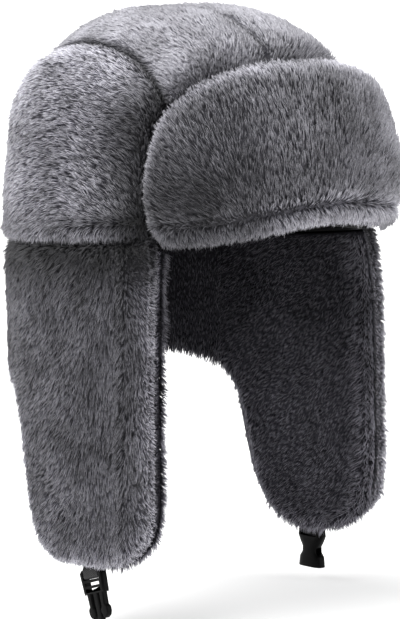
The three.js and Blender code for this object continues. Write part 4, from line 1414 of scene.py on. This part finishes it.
class USHANKA_OT_webbing(bpy.types.Operator):
    """The two webbing tabs that hold the buckle halves"""

    bl_idname = "ushanka.webbing"
    bl_label = "Webbing tabs"

    def execute(self, context):
        # Polypropylene webbing, plain weave. Dull black ribs a little over 1 mm apart both ways:
        # height = sin(2 pi along / spacing) * sin(2 pi across / spacing).
        material, tree, output = new_material("black_polypropylene_webbing")
        ribs = {}
        for key, (direction, spacing) in enumerate((("along", 1.3), ("across", 1.6))):
            where = add_node(tree, "ShaderNodeAttribute", {"attribute_name": direction})
            phase = add_node(
                tree, "ShaderNodeMath", {"operation": "MULTIPLY", 1: 2 * math.pi / spacing},
                {0: where.outputs["Fac"]},
            )
            rib = add_node(tree, "ShaderNodeMath", {"operation": "SINE"}, {0: phase.outputs["Value"]})
            ribs[key] = rib.outputs["Value"]
        weave = add_node(tree, "ShaderNodeMath", {"operation": "MULTIPLY"}, ribs)
        bump = add_node(
            tree, "ShaderNodeBump", {"Strength": 0.9, "Distance": 0.25 * MM},
            {"Height": weave.outputs["Value"]},
        )
        colour = context.scene.ushanka_fittings.webbing_colour
        thread = add_node(
            tree, "ShaderNodeMapRange", {"From Min": -1.0, "From Max": 1.0, "To Min": 0.7, "To Max": 1.5},
            {"Value": weave.outputs["Value"]},
        )
        woven = add_node(
            tree, "ShaderNodeHueSaturation", {"Color": (*colour, 1)}, {"Value": thread.outputs["Result"]}
        )
        shader = add_node(
            tree, "ShaderNodeBsdfPrincipled", {"Roughness": 0.7, "IOR": 1.49},
            {"Base Color": woven.outputs["Color"], "Normal": bump.outputs["Normal"]},
        )
        tree.links.new(shader.outputs["BSDF"], output.inputs["Surface"])
        for name, side, drop, tilt in (
            ("right", -1, HANG["plug_drop"], HANG["plug_tilt"]),
            ("left", 1, HANG["drop"], 0.0),
        ):
            points, along_tape, wide = webbing_points(side, drop, tilt)
            rows, columns = points.shape[:2]
            values = {"along": np.repeat(along_tape, columns), "across": np.tile(wide, rows)}
            piece = make_piece(f"webbing_{name}", points.reshape(-1, 3), tube_faces(rows, columns), values)
            finish(piece, material)
            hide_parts(f"strap_{name}")
        return {"FINISHED"}


class USHANKA_OT_buckle(bpy.types.Operator):
    """The finish of the buckle's two halves"""

    bl_idname = "ushanka.buckle"
    bl_label = "Buckle"

    def execute(self, context):
        # Acetal, injection moulded. Smooth black with soft highlights and a faint orange-peel ripple.
        material, tree, output = new_material("black_moulded_acetal")
        place = add_node(tree, "ShaderNodeTexCoord", {})
        ripple = add_node(
            tree, "ShaderNodeTexNoise", {"Scale": 1 / (1.5 * MM), "Detail": 3.0},
            {"Vector": place.outputs["Object"]},
        )
        bump = add_node(
            tree, "ShaderNodeBump", {"Strength": 0.15, "Distance": 0.1 * MM},
            {"Height": ripple.outputs["Fac"]},
        )
        gloss = add_node(
            tree, "ShaderNodeMapRange", {"To Min": 0.26, "To Max": 0.42}, {"Value": ripple.outputs["Fac"]}
        )
        colour = context.scene.ushanka_fittings.plastic_colour
        shader = add_node(
            tree, "ShaderNodeBsdfPrincipled",
            {"Base Color": (*colour, 1), "IOR": 1.48, "Specular IOR Level": 0.06},
            {"Roughness": gloss.outputs["Result"], "Normal": bump.outputs["Normal"]},
        )
        tree.links.new(shader.outputs["BSDF"], output.inputs["Surface"])
        for node in ("buckle_plug", "buckle_socket"):
            piece = rounded_copy(node, node.replace("buckle", "moulded"))
            finish(piece, material)
            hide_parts(node)
        return {"FINISHED"}


def add_sun(name, strength, softness, way):
    """A soft lamp far away: light from a disc of sky `softness` degrees wide, which lies in direction
    `way` as the scene sees it."""
    data = bpy.data.lights.new(name, "SUN")
    data.energy = strength
    data.angle = math.radians(softness)
    lamp = bpy.data.objects.new(name, data)
    lamp.rotation_euler = (-way).to_track_quat("-Z", "Y").to_euler()
    bpy.context.scene.collection.objects.link(lamp)


class USHANKA_OT_stage(bpy.types.Operator):
    """The pale floor and backdrop, the soft lamps and the camera"""

    bl_idname = "ushanka.stage"
    bl_label = "Stage"

    def execute(self, context):
        settings = context.scene.ushanka_stage
        turn, lift = settings.azimuth, settings.elevation
        right = Vector((math.cos(turn), math.sin(turn), 0))
        ahead = Vector((-math.sin(turn) * math.cos(lift), math.cos(turn) * math.cos(lift), -math.sin(lift)))
        level = Vector((ahead.x, ahead.y, 0)).normalized()
        target = (
            Vector((0, 0, RIM * MM))
            + right * (RIGHT_OF_MIDDLE_PX * MM_PER_PX * MM)
            - Vector((0, 0, 1)) * ((CENTRE_ROW_PX - RIM_ROW_PX) * MM_PER_PX * MM / math.cos(lift))
        )
        data = bpy.data.cameras.new("camera")
        data.sensor_width = SENSOR
        data.lens = SENSOR * settings.distance / (VIEW_HEIGHT_PX * MM_PER_PX * MM)
        data.clip_end = 50
        camera = bpy.data.objects.new("camera", data)
        camera.location = target - ahead * settings.distance
        camera.rotation_euler = ahead.to_track_quat("-Z", "Y").to_euler()
        context.scene.collection.objects.link(camera)
        context.scene.camera = camera

        # Pale matt tracing paper on a light table. Its glow keeps shadows faint.
        paper, tree, output = new_material("pale_tracing_paper")
        place = add_node(tree, "ShaderNodeTexCoord", {})
        fibre = add_node(
            tree, "ShaderNodeTexNoise", {"Scale": 1 / (2 * MM)}, {"Vector": place.outputs["Object"]}
        )
        bump = add_node(
            tree, "ShaderNodeBump", {"Strength": 0.05, "Distance": 0.1 * MM}, {"Height": fibre.outputs["Fac"]}
        )
        shader = add_node(
            tree, "ShaderNodeBsdfPrincipled",
            {"Base Color": (*settings.floor_colour, 1), "Roughness": 0.9, "Emission Color": (1, 1, 1, 1),
             "Emission Strength": settings.floor_glow},
            {"Normal": bump.outputs["Normal"]},
        )
        tree.links.new(shader.outputs["BSDF"], output.inputs["Surface"])
        reach = np.array((-FLOOR_REACH, 0.0, FLOOR_REACH))
        points = np.array(level) * reach[:, None, None] + np.array(right) * reach[None, :, None]
        points[..., 2] = CAD_BOX[0][2] / MM - FLOOR_GAP
        faces = grid_faces(*points.shape[:2])[:, ::-1]
        mesh = bpy.data.meshes.new("paper_floor")
        mesh.from_pydata((points.reshape(-1, 3) * MM).tolist(), [], faces.tolist())
        mesh.shade_smooth()
        mesh.materials.append(paper)
        sheet = bpy.data.objects.new("paper_floor", mesh)
        context.scene.collection.objects.link(sheet)

        up = Vector((0, 0, 1))
        softness = 60
        add_sun("overhead", settings.overhead_power, softness, up * 0.8 - right * 0.5 - level * 0.12)
        add_sun("side", settings.side_power, softness, up * 0.35 + right * 0.85 - level * 0.4)
        world = bpy.data.worlds.new("surroundings")
        world.use_nodes = True
        tree = world.node_tree
        path = add_node(tree, "ShaderNodeLightPath", {})
        strength = add_node(
            tree, "ShaderNodeMapRange", {"To Min": settings.sky, "To Max": 1.0},
            {"Value": path.outputs["Is Camera Ray"]},
        )
        tree.links.new(strength.outputs["Result"], tree.nodes["Background"].inputs["Strength"])
        tree.nodes["Background"].inputs["Color"].default_value = (1, 1, 1, 1)
        context.scene.world = world
        context.scene.view_settings.view_transform = "Standard"
        return {"FINISHED"}


STEPS = (
    USHANKA_OT_stage,
    USHANKA_OT_crown,
    USHANKA_OT_peak,
    USHANKA_OT_ear_band,
    USHANKA_OT_webbing,
    USHANKA_OT_buckle,
)


class USHANKA_PT_steps(bpy.types.Panel):
    """Lists the steps that finish the hat"""

    bl_idname = "USHANKA_PT_steps"
    bl_label = "Ushanka"
    bl_space_type = "VIEW_3D"
    bl_region_type = "UI"
    bl_category = "Ushanka"

    def draw(self, context):
        for step in STEPS:
            self.layout.operator(step.bl_idname)
        for group_name, _ in GROUPS:
            group = getattr(context.scene, group_name)
            column = self.layout.column()
            for name in group.bl_rna.properties.keys():
                if name not in ("rna_type", "name"):
                    column.prop(group, name)


GROUPS = (
    ("ushanka_pile", UshankaPileSettings),
    ("ushanka_fittings", UshankaFittingSettings),
    ("ushanka_stage", UshankaStageSettings),
)
CLASSES = tuple(group for _, group in GROUPS) + STEPS + (USHANKA_PT_steps,)


def register():
    for cls in CLASSES:
        bpy.utils.register_class(cls)
    for name, group in GROUPS:
        setattr(bpy.types.Scene, name, bpy.props.PointerProperty(type=group))


def unregister():
    for name, _ in GROUPS:
        delattr(bpy.types.Scene, name)
    for cls in reversed(CLASSES):
        bpy.utils.unregister_class(cls)


def main():
    """Registers the add-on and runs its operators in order."""
    register()
    for step in STEPS:
        group, name = step.bl_idname.split(".")
        getattr(getattr(bpy.ops, group), name)()


if __name__ == "__main__":
    main()
